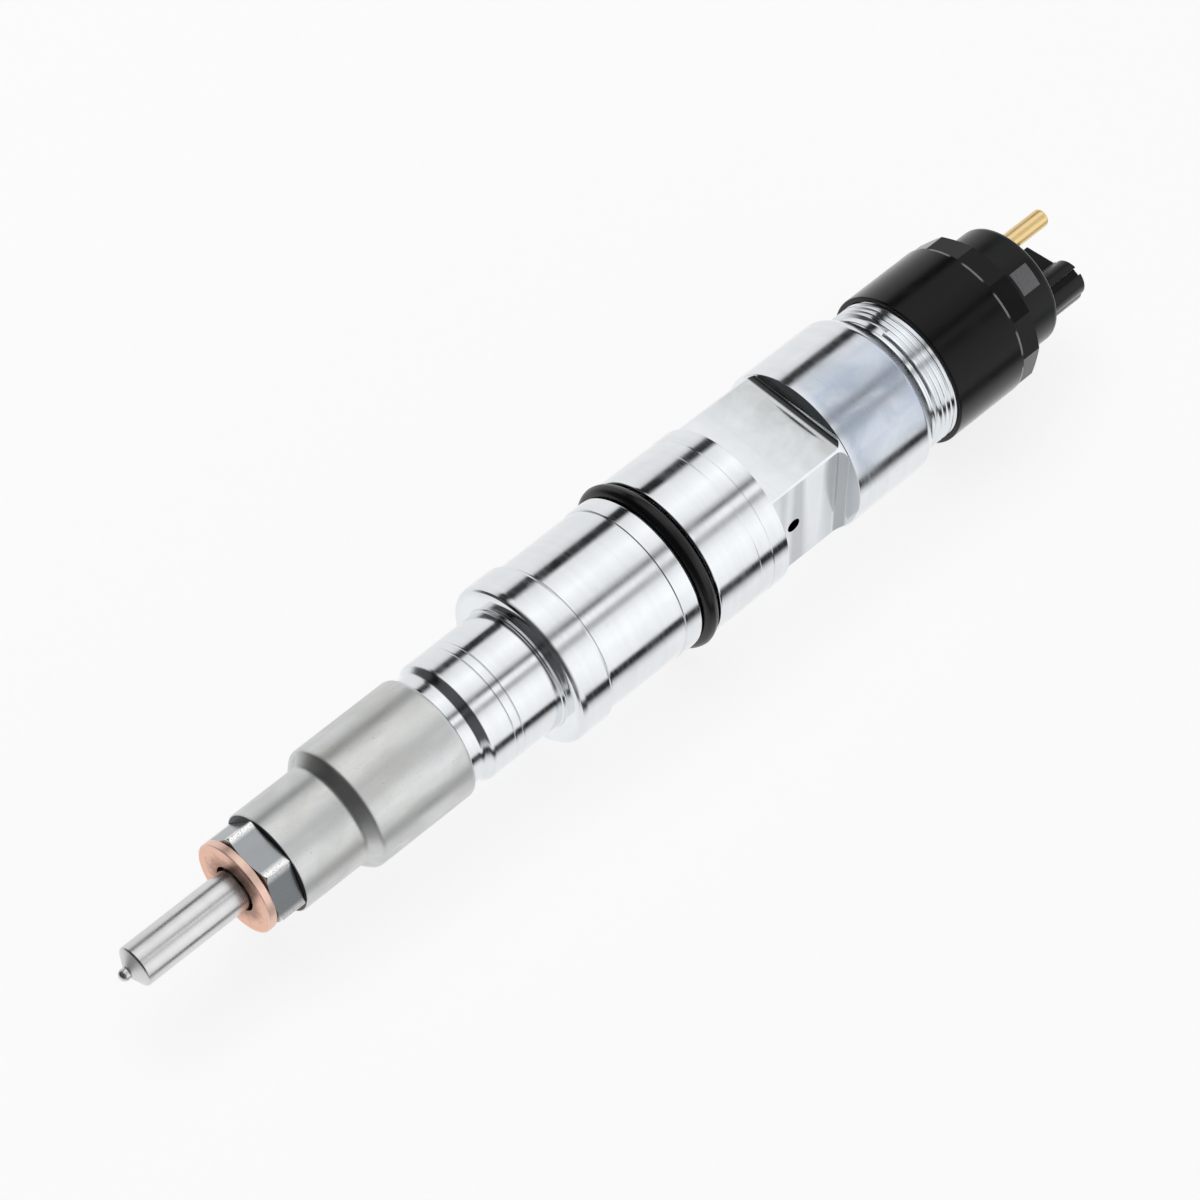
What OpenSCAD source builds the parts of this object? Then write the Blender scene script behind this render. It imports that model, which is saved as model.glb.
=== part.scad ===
// Common-rail fuel injector with a solenoid servo valve, for a truck diesel engine.
// It lies along +X: the nozzle points to -X and the terminals to +X.
// The origin is on the axis, at the face of the copper washer that seals in the cylinder head.

/* [Nozzle] */
// Diameter of the nozzle's shank
shank_d = 7.0; // [6.5:0.1:8.4]
// How far the shank stands out of the sealing face
shank_len = 19.5; // [14:0.5:26]
// Diameter of the sac at the tip
sac_d = 2.05; // [1.8:0.05:2.5]
// Length of the nose, from the shank's front edge to the end of the sac
nose_len = 3.0; // [2.8:0.1:3.8]
// Diameter of the nozzle's collar inside the nut
collar_d = 14.2; // [13:0.1:14.6]
// Length of the nozzle's collar
collar_len = 16.0; // [15:0.5:19]
// Diameter of the needle's guide bore
guide_d = 4.0; // [3.4:0.1:4.8]
// Diameter of the fuel bore round the needle
fuel_bore_d = 4.1; // [3.6:0.1:4.6]
// Diameter of the needle's stem
stem_d = 2.9; // [2.4:0.1:3.2]
// Number of spray holes
spray_holes = 8; // [5:1:10]
// Diameter of a spray hole
spray_d = 0.18; // [0.12:0.01:0.3]
// Lift of the needle
needle_lift = 0.3; // [0.2:0.05:0.4]

/* [Nozzle nut] */
// Thickness of the copper washer
washer_t = 1.5; // [1:0.1:3]
// Outer diameter of the washer
washer_d = 16.2; // [15:0.1:17.5]
// Bore of the washer
washer_bore_d = 8.0; // [7.6:0.1:9]
// Hexagon's width across flats
hex_af = 15.0; // [14.6:0.1:17]
// Diameter that the hexagon's corners are turned to
hex_corner_d = 17.2; // [16:0.1:17.6]
// Length of the hexagon
hex_len = 5.2; // [4:0.1:8]
// Turn of the hexagon about the axis
hex_turn = 40; // [0:1:59]
// Diameter of the nut's thin part
nut_small_d = 17.9; // [17.2:0.1:20]
// Length of the thin part
nut_small_len = 12.0; // [11:0.5:16]
// Length of the cone between the two diameters
nut_cone_len = 2.0; // [1:0.1:4]
// Diameter of the nut's thick part
nut_large_d = 21.8; // [21:0.1:26]
// Length of the thick part
nut_large_len = 19.0; // [16:0.5:24]
// Thickness of the nut's front wall, which holds the nozzle's collar
nut_wall_t = 3.5; // [3:0.1:5]

/* [Body] */
// Diameter of the neck behind the nozzle nut
neck_d = 19.6; // [18.6:0.1:21.4]
// Length of the neck
neck_len = 2.35; // [1.5:0.05:6]
// Diameter of the lower shaft
shaft_d = 21.7; // [20:0.1:25]
// Length of the lower shaft
shaft_len = 14.8; // [8:0.2:24]
// Diameter of the collar flange
flange_d = 29.2; // [28.4:0.1:34]
// Length of the collar flange
flange_len = 6.6; // [4:0.1:10]
// Diameter of the inlet land
land_d = 27.9; // [26:0.1:29]
// Length of the inlet land
land_len = 16.6; // [14:0.2:24]
// Diameter of the rim in front of the seal
rim_d = 28.4; // [27.8:0.1:29.4]
// Length of the rim
rim_len = 3.4; // [2:0.1:6]
// Width of the seal's groove
groove_w = 3.6; // [3.4:0.1:4.6]
// Section of the body's seal ring
seal_section_d = 3.0; // [2:0.1:3.3]
// Outer diameter of the body's seal ring
seal_d = 30.6; // [29.8:0.1:33]
// Diameter of the upper body
body_d = 29.4; // [28.8:0.1:36]
// Length of the body between the seal and the flats
mid_len = 15.2; // [12:0.2:24]
// Width across the two pairs of clamp flats
flats_af = 20.8; // [19.6:0.1:25]
// Length of the clamp flats
flats_len = 16.3; // [12:0.1:22]
// Length of the round body above the flats
upper_len = 16.1; // [10:0.1:24]
// Diameter of the thread under the solenoid nut
top_thread_d = 26.3; // [25.6:0.1:27]
// Length of thread that stays in sight
thread_shown = 4.7; // [2:0.1:6]
// Length of thread inside the solenoid nut
thread_held = 5.4; // [4:0.1:8]
// Pitch of the body's threads
pitch = 1.0; // [0.75:0.25:1.5]

/* [Fuel passages] */
// Distance of the high-pressure inlet from the flange
inlet_offset = 8.0; // [6:0.5:12]
// Diameter of the inlet's socket
inlet_d = 9.2; // [8:0.1:11]
// Height of the inlet socket's floor above the axis
inlet_floor = 9.0; // [8.4:0.1:10.5]
// Diameter of the inlet's throat
throat_d = 2.4; // [1.6:0.1:3]
// Diameter of the long high-pressure drilling
feed_d = 1.6; // [1.2:0.1:1.8]
// Distance of the long drilling from the axis
feed_offset = 6.0; // [5.8:0.1:6.4]
// Distance of the leak hole from the flats' front end
leak_offset = 5.4; // [4:0.1:9]
// Diameter of the leak hole
leak_d = 2.6; // [2:0.1:3.2]
// Diameter of the drilling from the leak hole to the valve chamber
return_d = 1.5; // [1:0.1:1.6]

/* [Needle control] */
// Diameter of the spring chamber
spring_bore_d = 7.2; // [7:0.1:7.8]
// Depth of the spring chamber
spring_bore_len = 20.5; // [16:0.5:28]
// Wire of the nozzle spring
spring_wire_d = 1.1; // [0.8:0.05:1.2]
// Number of turns of the nozzle spring
spring_turns = 8; // [5:1:9]
// Thickness of the spring's setting shim
shim_t = 1.0; // [0.8:0.1:2]
// Diameter of the control plunger's guided end
plunger_d = 4.24; // [3.8:0.02:4.4]
// Diameter of the plunger's rod
rod_d = 3.5; // [3:0.1:3.6]
// Bore that the plunger's rod runs through
rod_bore_d = 4.6; // [4.4:0.1:5]

/* [Servo valve] */
// Depth of the chamber that holds the solenoid
chamber_depth = 25.5; // [25:0.5:31]
// Diameter of that chamber
chamber_d = 22.6; // [22:0.1:23]
// Distance from the chamber's floor down to the valve piece's seat
valve_depth = 13.0; // [12:0.5:15]
// Thickness of the valve piece's flange
valve_flange_t = 3.4; // [2.8:0.1:4]
// Length of the valve piece below its flange
valve_stem_len = 17.0; // [15:0.5:20]
// Diameter of the valve piece's stem
valve_stem_d = 9.2; // [8.6:0.1:9.6]
// Diameter of the valve ball
ball_d = 1.35; // [1:0.05:1.65]
// Outer diameter of the clamp screw's thread
clamp_d = 14.0; // [13.6:0.1:14.4]
// Bore of the clamp screw
clamp_bore_d = 6.4; // [5.8:0.1:7.2]
// Diameter of the armature's pin
pin_d = 2.9; // [2.4:0.1:3.2]
// Diameter of the armature's plate
plate_d = 17.2; // [15:0.1:17.8]
// Thickness of the armature's plate
plate_t = 2.2; // [1.6:0.1:2.6]
// Gap between the plate and the magnet with the valve shut
air_gap = 0.12; // [0.1:0.01:0.2]

/* [Solenoid] */
// Diameter of the magnet's core
core_d = 18.7; // [18.2:0.1:19]
// Length of the magnet's core
core_len = 14.4; // [12:0.1:16]
// Depth of the coil's slot
slot_depth = 7.9; // [6:0.1:9]
// Inner diameter of the coil's slot
slot_in_d = 10.4; // [9.6:0.1:11]
// Outer diameter of the coil's slot
slot_out_d = 16.4; // [15.6:0.1:17]
// Bore of the core, which holds the valve spring
core_bore_d = 5.8; // [5.6:0.1:6.4]
// Outer diameter of the magnet's sleeve
sleeve_d = 22.4; // [21.8:0.1:22.8]
// Thickness of the sleeve's rim
rim_t = 1.5; // [1:0.1:2.5]
// Outer diameter of the solenoid nut
cap_d = 28.2; // [27.8:0.1:33]
// Length of the solenoid nut's round part
cap_len = 15.1; // [12.6:0.1:18]
// Width across the solenoid nut's twelve flats
cap_af = 27.0; // [26:0.1:30]
// Length of the twelve flats
cap_flats_len = 4.3; // [3:0.1:8]
// Turn of the twelve flats about the axis
cap_turn = 22; // [0:1:29]
// Thickness of the plastic flange inside the nut
head_flange_t = 5.2; // [3:0.1:5.8]
// Diameter of the plastic head
head_d = 22.0; // [20:0.1:23]
// Length of the plastic head above the solenoid nut
head_len = 7.6; // [5:0.1:10]
// Height of the keyed tower on the head
tower_h = 8.9; // [6:0.1:11]
// Diameter of a terminal
terminal_d = 3.2; // [2.4:0.1:3.4]
// Length of the open terminal above the head
terminal_len = 13.2; // [10:0.1:18]
// How far the other terminal ends below the tower's top
terminal_recess = 0.8; // [0.4:0.1:2]
// Distance of a terminal from the axis
terminal_offset = 5.4; // [5.2:0.1:5.8]
// Turn of the head about the axis
head_turn = 27; // [-180:1:180]

/* [Clearances] */
// Radial clearance of pieces that slide on each other
slide_gap = 0.03; // [0.02:0.01:0.06]
// Radial clearance of pieces that are pushed together
push_gap = 0.05; // [0.03:0.01:0.1]
// Radial clearance in a thread
thread_gap = 0.06; // [0.04:0.01:0.1]
// Radial clearance of bores that pieces drop into
drop_gap = 0.1; // [0.08:0.01:0.2]
// Gap at faces that meet but belong to different moving pieces
face_gap = 0.02; // [0.01:0.01:0.04]

/* [Hidden] */
$fn = 96;
eps = 0.01;
thread_depth = 0.6 * pitch;

// Stations along the axis, from the washer to the top of the head.
hex_x = washer_t;
small_x = hex_x + hex_len;
cone_x = small_x + nut_small_len;
large_x = cone_x + nut_cone_len;
nut_end = large_x + nut_large_len;
collar_x = hex_x + nut_wall_t;
nozzle_top = collar_x + collar_len;
nut_gap = 0.15;
neck_x = nut_end + nut_gap;
shaft_cone = 1.4;
shaft_x = neck_x + neck_len + shaft_cone;
flange_x = shaft_x + shaft_len;
land_x = flange_x + flange_len;
rim_x = land_x + land_len;
groove_x = rim_x + rim_len;
mid_x = groove_x + groove_w;
flats_x = mid_x + mid_len;
upper_x = flats_x + flats_len;
top_cone_x = upper_x + upper_len;
top_cone_len = 2.3;
top_relief_len = 0.9;
top_thread_x = top_cone_x + top_cone_len + top_relief_len;
cap_x = top_thread_x + thread_shown;
body_top = cap_x + thread_held;

// Stations of the servo valve, from the chamber's floor.
floor_x = body_top - chamber_depth;
valve_x = floor_x - valve_depth;
valve_top = valve_x + valve_flange_t;
stem_end = valve_x - valve_stem_len;
lift_shim_t = 0.6;
guide_x = floor_x + lift_shim_t;
guide_flange_t = 2.2;
gap_shim_x = guide_x + guide_flange_t;
gap_shim_t = 0.5;
sleeve_x = gap_shim_x + gap_shim_t;
plate_x = gap_shim_x + 1.5;
plate_top = plate_x + plate_t;
washer2_t = 0.8;
washer2_d = 4.6;
core_x = plate_top + air_gap;
core_top = core_x + core_len;
rim2_top = body_top + rim_t;
head_shoulder = rim2_top + head_flange_t;
cap_flats_x = cap_x + cap_len;
cap_end = cap_flats_x + cap_flats_len;
head_top = cap_end + head_len;

// Nozzle nose and needle seat.
shank_x = -shank_len;
tip_x = shank_x - nose_len;
seat_half_angle = 30;
sac_bore_d = 0.9;
nose_edge = 0.2;
seat_end = shank_x - 0.87;
seat_start = seat_end + (fuel_bore_d - sac_bore_d) / 2 / tan(seat_half_angle);
sac_floor = tip_x + 0.55;
neck_cut = 0.3;
gallery_d = 6.6;
gallery_len = 4.0;
gallery_x = collar_x + 3.0;
feed_top_gap = 0.1;
dowel_d = 1.5;
dowel_len = 4.4;
dowel_offset = 5.3;
dowel_angle = 120;

// Lower body end inside the nozzle nut.
lower_thread_d = 17.9;
spigot_len = 4.4;
spigot_d = 15.8;
relief_len = 1.4;
lower_thread_x = nozzle_top + spigot_len;
lower_thread_end = neck_x - relief_len;

// Needle, spring seat, spring and plunger.
needle_top = nozzle_top - needle_lift;
needle_pin_d = 2.6;
seat_x = nozzle_top + 0.9;
spring_start = seat_x + 2.0;
seat_top = spring_start + 2.1;
spring_seat_d = spring_bore_d - 0.6;
spring_end = nozzle_top + spring_bore_len - shim_t;
spring_mean_d = spring_bore_d - 0.9 - spring_wire_d;
socket_d = 8.6;
chamber_gap = 0.3;
guide_end = valve_x - 5.8;
plunger_top = guide_end - needle_lift - chamber_gap;
plunger_guide_len = 9.0;
throttle_d = 0.3;

// Ball seat: a 90 degree cone in the top of the valve piece.
seat_mouth_r = 0.9;
ball_x = valve_top - seat_mouth_r + (ball_d / 2 + 0.015) * sqrt(2);
ball_guide_x = ball_x + 0.25;
ball_guide_d = 2.7;
ball_guide_len = 2.4;
pin_x = ball_guide_x + ball_guide_len;
pin_top = plate_top + washer2_t + 0.7;
pin_neck_d = 2.2;

// Terminals: the foot in the core, the stem in the plastic and the gap under the contact.
foot_r = 0.6;
stem_r = 1.1;
contact_gap = 0.15;

inlet_x = land_x + inlet_offset;
leak_x = flats_x + leak_offset;
leak_floor = 8.6;
recess_d = 18.6;
recess_len = 1.6;

// Reach of the long drilling, which ends in the groove round the valve piece.
annulus_x = stem_end + 4.5;
annulus_len = 5.0;
annulus_d = 11.8;
annulus_upper_d = 10.0;

// ---------------------------------------------------------------- helpers

// Turned piece: points are [distance along the axis, radius].
module turned(points) {
    rotate([0, 90, 0])
        rotate_extrude()
            polygon([for (p = points) [p[1], p[0]]]);
}

// Straight cylinder along the axis.
module rod(x0, x1, d) {
    translate([x0, 0, 0])
        rotate([0, 90, 0])
            cylinder(h = x1 - x0, d = d);
}

// Flat ring on the axis.
module ring(x0, x1, d_out, d_in) {
    turned([[x0, d_in / 2], [x0, d_out / 2], [x1, d_out / 2], [x1, d_in / 2]]);
}

// Ring of round section, such as a rubber seal.
module round_ring(x, mean_d, section_d) {
    translate([x, 0, 0])
        rotate([0, 90, 0])
            rotate_extrude()
                translate([mean_d / 2, 0])
                    circle(d = section_d, $fn = 32);
}

// Cylinder between two points.
module drilling(from, to, d) {
    way = to - from;
    flat_way = norm([way[0], way[1]]);
    translate(from)
        rotate([0, atan2(flat_way, way[2]), atan2(way[1], way[0])])
            cylinder(h = norm(way), d = d, $fn = 48);
}

// Points round a corner, centred at [x, r], with angles from the +x direction.
function bend(x, r, size, from, to, steps = 5) = [
    for (i = [0:steps])
        let (a = from + (to - from) * i / steps)
            [x + size * cos(a), r + size * sin(a)]
];

// Outline of a thread as separate rings: the rings that fit between two stations.
function thread(start, from, to, d, grow = 0) =
    let (first = ceil((from - start) / pitch - eps), last = floor((to - start) / pitch + eps) - 1)
    [
        for (i = [first:last], p = [[0.06, 1], [0.44, 0], [0.56, 0], [0.94, 1]])
            [start + (i + p[0]) * pitch, d / 2 - thread_depth * p[1] + grow]
    ];

// Where the first ring of a thread starts that fits behind a station.
function first_ring(start, from) = start + ceil((from - start) / pitch - eps) * pitch;

// Radius of the turned relief beside a thread.
function relief_r(d) = d / 2 - thread_depth - 0.1;

function reverse(list) = [for (i = [len(list) - 1:-1:0]) list[i]];

// Coil spring along the axis as one swept tube with closed ends.
module spring(x0, x1, mean_d, wire_d, turns, sides = 8, per_turn = 20) {
    steps = turns * per_turn;
    travel = x1 - x0 - wire_d;
    points = [
        for (i = [0:steps], j = [0:sides - 1])
            let (
                a = 360 * i / per_turn,
                b = 360 * j / sides,
                r = mean_d / 2 + wire_d / 2 * cos(b)
            )
                [x0 + wire_d / 2 + travel * i / steps + wire_d / 2 * sin(b), r * cos(a), r * sin(a)]
    ];
    sides_faces = [
        for (i = [0:steps - 1], j = [0:sides - 1])
            let (k = (j + 1) % sides)
                [i * sides + j, i * sides + k, (i + 1) * sides + k, (i + 1) * sides + j]
    ];
    caps = [
        [for (j = [sides - 1:-1:0]) j],
        [for (j = [0:sides - 1]) steps * sides + j]
    ];
    polyhedron(points = points, faces = concat(sides_faces, caps), convexity = 8);
}

// ---------------------------------------------------------------- nozzle

module nozzle_body() {
    sac_r = sac_d / 2;
    nose_r = shank_d / 2 - nose_edge;
    nose_x = shank_x - nose_edge;
    root_r = sac_r + 0.08;
    root_x = nose_x - (nose_r - root_r) * 0.568;
    color("lightsteelblue")
        difference() {
            turned(concat(
                bend(tip_x + sac_r, 0, sac_r, 180, 90, 6),
                [
                    [root_x - 0.25, sac_r], [root_x, root_r], [nose_x, nose_r],
                    [shank_x, shank_d / 2], [0, shank_d / 2], [neck_cut, shank_d / 2 - neck_cut],
                    [collar_x, shank_d / 2 - neck_cut], [collar_x, collar_d / 2 - 0.4],
                    [collar_x + 0.4, collar_d / 2], [nozzle_top - 0.4, collar_d / 2],
                    [nozzle_top, collar_d / 2 - 0.4], [nozzle_top, guide_d / 2],
                    [gallery_x + gallery_len, guide_d / 2],
                    [gallery_x + gallery_len - 0.8, gallery_d / 2],
                    [gallery_x + 0.8, gallery_d / 2], [gallery_x, fuel_bore_d / 2],
                    [seat_start, fuel_bore_d / 2], [seat_end, sac_bore_d / 2],
                    [sac_floor + 0.2, sac_bore_d / 2], [sac_floor, 0]
                ]
            ));
            for (i = [0:spray_holes - 1])
                rotate([360 * i / spray_holes, 0, 0])
                    translate([tip_x + 1.05, 0, 0])
                        rotate([0, -15, 0])
                            cylinder(h = sac_d, d = spray_d, $fn = 24);
            drilling(
                [nozzle_top + 1, feed_offset + 0.25, 0],
                [gallery_x + 2, gallery_d / 2 - 0.8, 0],
                feed_d - 0.2
            );
            dowels(push_gap, feed_top_gap);
        }
}

// The dowels, or their holes when a clearance is given.
module dowels(gap = 0, depth = 0) {
    for (side = [-1, 1])
        rotate([side * dowel_angle, 0, 0])
            translate([nozzle_top - dowel_len / 2 - depth, dowel_offset, 0])
                rotate([0, 90, 0])
                    cylinder(h = dowel_len + 2 * depth, d = dowel_d + 2 * gap, $fn = 32);
}

module dowel_pins() {
    color("gray") dowels();
}

module nozzle_needle() {
    slope = tan(seat_half_angle);
    cone_gap = face_gap / cos(seat_half_angle);
    // The needle's cone runs beside the seat's cone at the face gap.
    cone_x0 = seat_start - ((fuel_bore_d - stem_d) / 2 - cone_gap) / slope;
    cone_end = seat_end - 0.2;
    cone_end_r = stem_d / 2 - (cone_x0 - cone_end) * slope;
    guide_start = gallery_x + gallery_len + 0.4;
    color("silver")
        turned([
            [cone_end - 0.15, 0], [cone_end, cone_end_r], [cone_x0, stem_d / 2],
            [guide_start - 1.2, stem_d / 2], [guide_start, guide_d / 2 - slide_gap],
            [guide_start + 2.6, guide_d / 2 - slide_gap],
            [guide_start + 2.7, guide_d / 2 - slide_gap - 0.1],
            [guide_start + 3.0, guide_d / 2 - slide_gap - 0.1],
            [guide_start + 3.1, guide_d / 2 - slide_gap],
            [needle_top - 0.2, guide_d / 2 - slide_gap],
            [needle_top, guide_d / 2 - slide_gap - 0.2], [needle_top, needle_pin_d / 2],
            [seat_x + 1.2, needle_pin_d / 2], [seat_x + 1.2, 0]
        ]);
}

module sealing_washer() {
    edge = 0.15;
    color("chocolate")
        turned([
            [0, washer_bore_d / 2], [0, washer_d / 2 - edge], [edge, washer_d / 2],
            [washer_t - edge, washer_d / 2], [washer_t, washer_d / 2 - edge],
            [washer_t, washer_bore_d / 2]
        ]);
}

module nozzle_nut() {
    edge = 0.6;
    round_r = 1.2;
    color("darkgray")
        difference() {
            union() {
                intersection() {
                    translate([hex_x, 0, 0])
                        rotate([0, 90, 0])
                            rotate([0, 0, hex_turn])
                                cylinder(h = hex_len + eps, d = hex_af / cos(30), $fn = 6);
                    turned([
                        [hex_x, 0], [hex_x, hex_af / 2 - 0.2],
                        [hex_x + edge, hex_corner_d / 2], [small_x + eps, hex_corner_d / 2],
                        [small_x + eps, 0]
                    ]);
                }
                turned(concat(
                    [
                        [small_x, 0], [small_x, nut_small_d / 2 - 0.3],
                        [small_x + 0.3, nut_small_d / 2], [cone_x, nut_small_d / 2],
                        [large_x, nut_large_d / 2]
                    ],
                    bend(nut_end - round_r, nut_large_d / 2 - round_r, round_r, 90, 0),
                    [[nut_end, 0]]
                ));
            }
            turned(concat(
                [
                    [hex_x - 1, 0], [hex_x - 1, shank_d / 2 + drop_gap + 0.15],
                    [collar_x, shank_d / 2 + drop_gap + 0.15],
                    [collar_x, collar_d / 2 + drop_gap],
                    [nozzle_top - 1.2, collar_d / 2 + drop_gap],
                    [nozzle_top - 0.4, spigot_d / 2 + 0.3],
                    [lower_thread_x, spigot_d / 2 + 0.3]
                ],
                thread(lower_thread_x, lower_thread_x, lower_thread_end, lower_thread_d, thread_gap),
                [
                    [lower_thread_end, lower_thread_d / 2 + 0.1],
                    [nut_end + 1, lower_thread_d / 2 + 0.1], [nut_end + 1, 0]
                ]
            ));
        }
}

// ---------------------------------------------------------------- needle control

module spring_seat() {
    color("slategray")
        turned([
            [seat_x, needle_pin_d / 2 + face_gap], [seat_x, spring_seat_d / 2 - 0.3],
            [seat_x + 0.3, spring_seat_d / 2], [spring_start, spring_seat_d / 2],
            [spring_start, spring_mean_d / 2 - spring_wire_d / 2 - 0.1],
            [seat_top, spring_mean_d / 2 - spring_wire_d / 2 - 0.1], [seat_top, 0],
            [seat_x + 1.2 + face_gap, 0],
            [seat_x + 1.2 + face_gap, needle_pin_d / 2 + face_gap]
        ]);
}

module nozzle_spring() {
    color("dimgray")
        spring(
            spring_start + face_gap, spring_end - face_gap, spring_mean_d, spring_wire_d, spring_turns
        );
}

module spring_shim() {
    color("silver")
        ring(spring_end, spring_end + shim_t, spring_bore_d - 2 * drop_gap, rod_bore_d);
}

module control_plunger() {
    guide_start = plunger_top - plunger_guide_len;
    color("gainsboro")
        turned([
            [seat_top + face_gap, 0], [seat_top + face_gap, rod_d / 2 - 0.3],
            [seat_top + face_gap + 0.3, rod_d / 2], [guide_start - 0.8, rod_d / 2],
            [guide_start, plunger_d / 2], [guide_start + 3.0, plunger_d / 2],
            [guide_start + 3.1, plunger_d / 2 - 0.1], [guide_start + 3.4, plunger_d / 2 - 0.1],
            [guide_start + 3.5, plunger_d / 2], [plunger_top - 0.3, plunger_d / 2],
            [plunger_top, plunger_d / 2 - 0.3], [plunger_top, 0]
        ]);
}

// ---------------------------------------------------------------- body

// Outside of the body, from the end face on the nozzle to the top thread.
function body_outside() = concat(
    [[nozzle_top, spigot_d / 2 - 0.3], [nozzle_top + 0.3, spigot_d / 2],
        [lower_thread_x, spigot_d / 2]],
    thread(lower_thread_x, lower_thread_x, lower_thread_end, lower_thread_d),
    [
        [lower_thread_end, relief_r(lower_thread_d)], [neck_x, relief_r(lower_thread_d)],
        [neck_x, neck_d / 2 - 0.25], [neck_x + 0.25, neck_d / 2], [neck_x + neck_len, neck_d / 2],
        [shaft_x, shaft_d / 2]
    ],
    turned_line(shaft_x + 0.3 * shaft_len, shaft_d),
    turned_line(shaft_x + 0.41 * shaft_len, shaft_d),
    [[flange_x - 0.6, shaft_d / 2], [flange_x - 0.45, shaft_d / 2 + 0.25],
        [flange_x, shaft_d / 2 + 0.3]],
    bend(flange_x + 1.5, flange_d / 2 - 1.5, 1.5, 180, 90),
    [[land_x - 0.25, flange_d / 2], [land_x, flange_d / 2 - 0.25], [land_x, land_d / 2]],
    turned_line(land_x + 0.35, land_d),
    [
        [rim_x, land_d / 2], [rim_x, rim_d / 2 - 0.05], [rim_x + 0.05, rim_d / 2],
        [groove_x - 0.3, rim_d / 2], [groove_x, rim_d / 2 - 0.3], [groove_x, seal_inner_r()],
        [mid_x, seal_inner_r()], [mid_x, body_d / 2 - 0.3], [mid_x + 0.3, body_d / 2],
        [mid_x + 0.6 * mid_len, body_d / 2], [mid_x + 0.6 * mid_len + 0.1, body_d / 2 - 0.08],
        [mid_x + 0.78 * mid_len, body_d / 2 - 0.08], [mid_x + 0.78 * mid_len + 0.1, body_d / 2],
        [top_cone_x, body_d / 2], [top_cone_x + top_cone_len, top_thread_d / 2 + 0.15],
        [top_cone_x + top_cone_len, relief_r(top_thread_d)],
        [top_thread_x, relief_r(top_thread_d)]
    ],
    thread(top_thread_x, top_thread_x, body_top, top_thread_d),
    [[body_top, relief_r(top_thread_d)]]
);

function turned_line(x, d) = [
    [x, d / 2], [x + 0.08, d / 2 - 0.1], [x + 0.2, d / 2 - 0.1], [x + 0.28, d / 2]
];

function seal_inner_r() = seal_d / 2 - seal_section_d - push_gap;

// Inside of the body, from the top down to the end face on the nozzle.
function body_inside() = concat(
    [
        [body_top, chamber_d / 2 + 0.3], [body_top - 0.3, chamber_d / 2],
        [floor_x, chamber_d / 2], [floor_x, recess_d / 2], [floor_x - recess_len, recess_d / 2],
        [floor_x - recess_len, clamp_d / 2 - thread_depth + thread_gap]
    ],
    reverse(thread(valve_top + 1, valve_top + 1, floor_x - recess_len, clamp_d, thread_gap)),
    [
        [valve_top + 1, clamp_d / 2 + 0.1], [valve_top + 0.3, clamp_d / 2 + 0.1],
        [valve_top + 0.3, flange_bore_r()], [valve_x, flange_bore_r()],
        [valve_x, annulus_upper_d / 2], [annulus_x + annulus_len, annulus_upper_d / 2],
        [annulus_x + annulus_len, annulus_d / 2], [annulus_x, annulus_d / 2],
        [annulus_x, socket_d / 2], [stem_end - 0.5, socket_d / 2],
        [stem_end - 0.5, rod_bore_d / 2], [nozzle_top + spring_bore_len, rod_bore_d / 2],
        [nozzle_top + spring_bore_len, spring_bore_d / 2], [nozzle_top, spring_bore_d / 2]
    ]
);

function flange_bore_r() = clamp_d / 2 - thread_depth;

module injector_body() {
    side = body_d;
    color("gainsboro")
        difference() {
            turned(concat(body_outside(), body_inside()));
            for (turn = [0:90:270])
                rotate([turn, 0, 0])
                    translate([flats_x, -side, flats_af / 2])
                        cube([flats_len, 2 * side, side]);
            // High-pressure inlet: socket, cone and throat.
            translate([inlet_x, 0, 0])
                rotate([-90, 0, 0]) {
                    translate([0, 0, inlet_floor])
                        cylinder(h = land_d, d = inlet_d);
                    translate([0, 0, inlet_floor - 1.9])
                        cylinder(h = 1.9 + eps, d1 = throat_d, d2 = inlet_d - 2.4);
                    translate([0, 0, feed_offset])
                        cylinder(h = inlet_floor - feed_offset, d = throat_d);
                }
            drilling(
                [nozzle_top - 1, feed_offset, 0],
                [annulus_x + annulus_len / 2, feed_offset, 0],
                feed_d
            );
            // Leak return: a hole in the flat and a drilling up to the valve chamber.
            translate([leak_x, -leak_floor, 0])
                rotate([90, 0, 0])
                    cylinder(h = body_d, d = leak_d);
            drilling(
                [leak_x - 0.3, -leak_floor - 0.35, 0],
                [floor_x - recess_len / 2, -leak_floor + 0.25, -1],
                return_d
            );
            dowels(push_gap, feed_top_gap);
        }
}

module body_seal_ring() {
    color([0.1, 0.1, 0.1])
        round_ring(groove_x + groove_w / 2, seal_d - seal_section_d, seal_section_d);
}

// ---------------------------------------------------------------- servo valve

module valve_piece() {
    neck_d2 = socket_d - 1.6;
    guide_r = plunger_d / 2 + slide_gap;
    color("lightgray")
        difference() {
            turned([
                [stem_end, guide_r], [stem_end, neck_d2 / 2 - 0.2],
                [stem_end + 0.2, neck_d2 / 2], [annulus_x + 0.2, neck_d2 / 2],
                [annulus_x + 0.6, valve_stem_d / 2], [valve_x, valve_stem_d / 2],
                [valve_x, flange_bore_r() - drop_gap], [valve_top - 0.2, flange_bore_r() - drop_gap],
                [valve_top, flange_bore_r() - drop_gap - 0.2], [valve_top, seat_mouth_r],
                [valve_top - seat_mouth_r + throttle_d, throttle_d],
                [valve_top - 1.6, throttle_d], [valve_top - 1.6, throttle_d / 2],
                [guide_end + 0.9, throttle_d / 2], [guide_end + 0.3, guide_r - 0.6],
                [guide_end, guide_r]
            ]);
            // Inlet throttle from the groove to the control chamber.
            translate([guide_end - 0.25, 0, 0])
                rotate([60, 0, 0])
                    cylinder(h = valve_stem_d, d = throttle_d, $fn = 24);
        }
}

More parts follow.
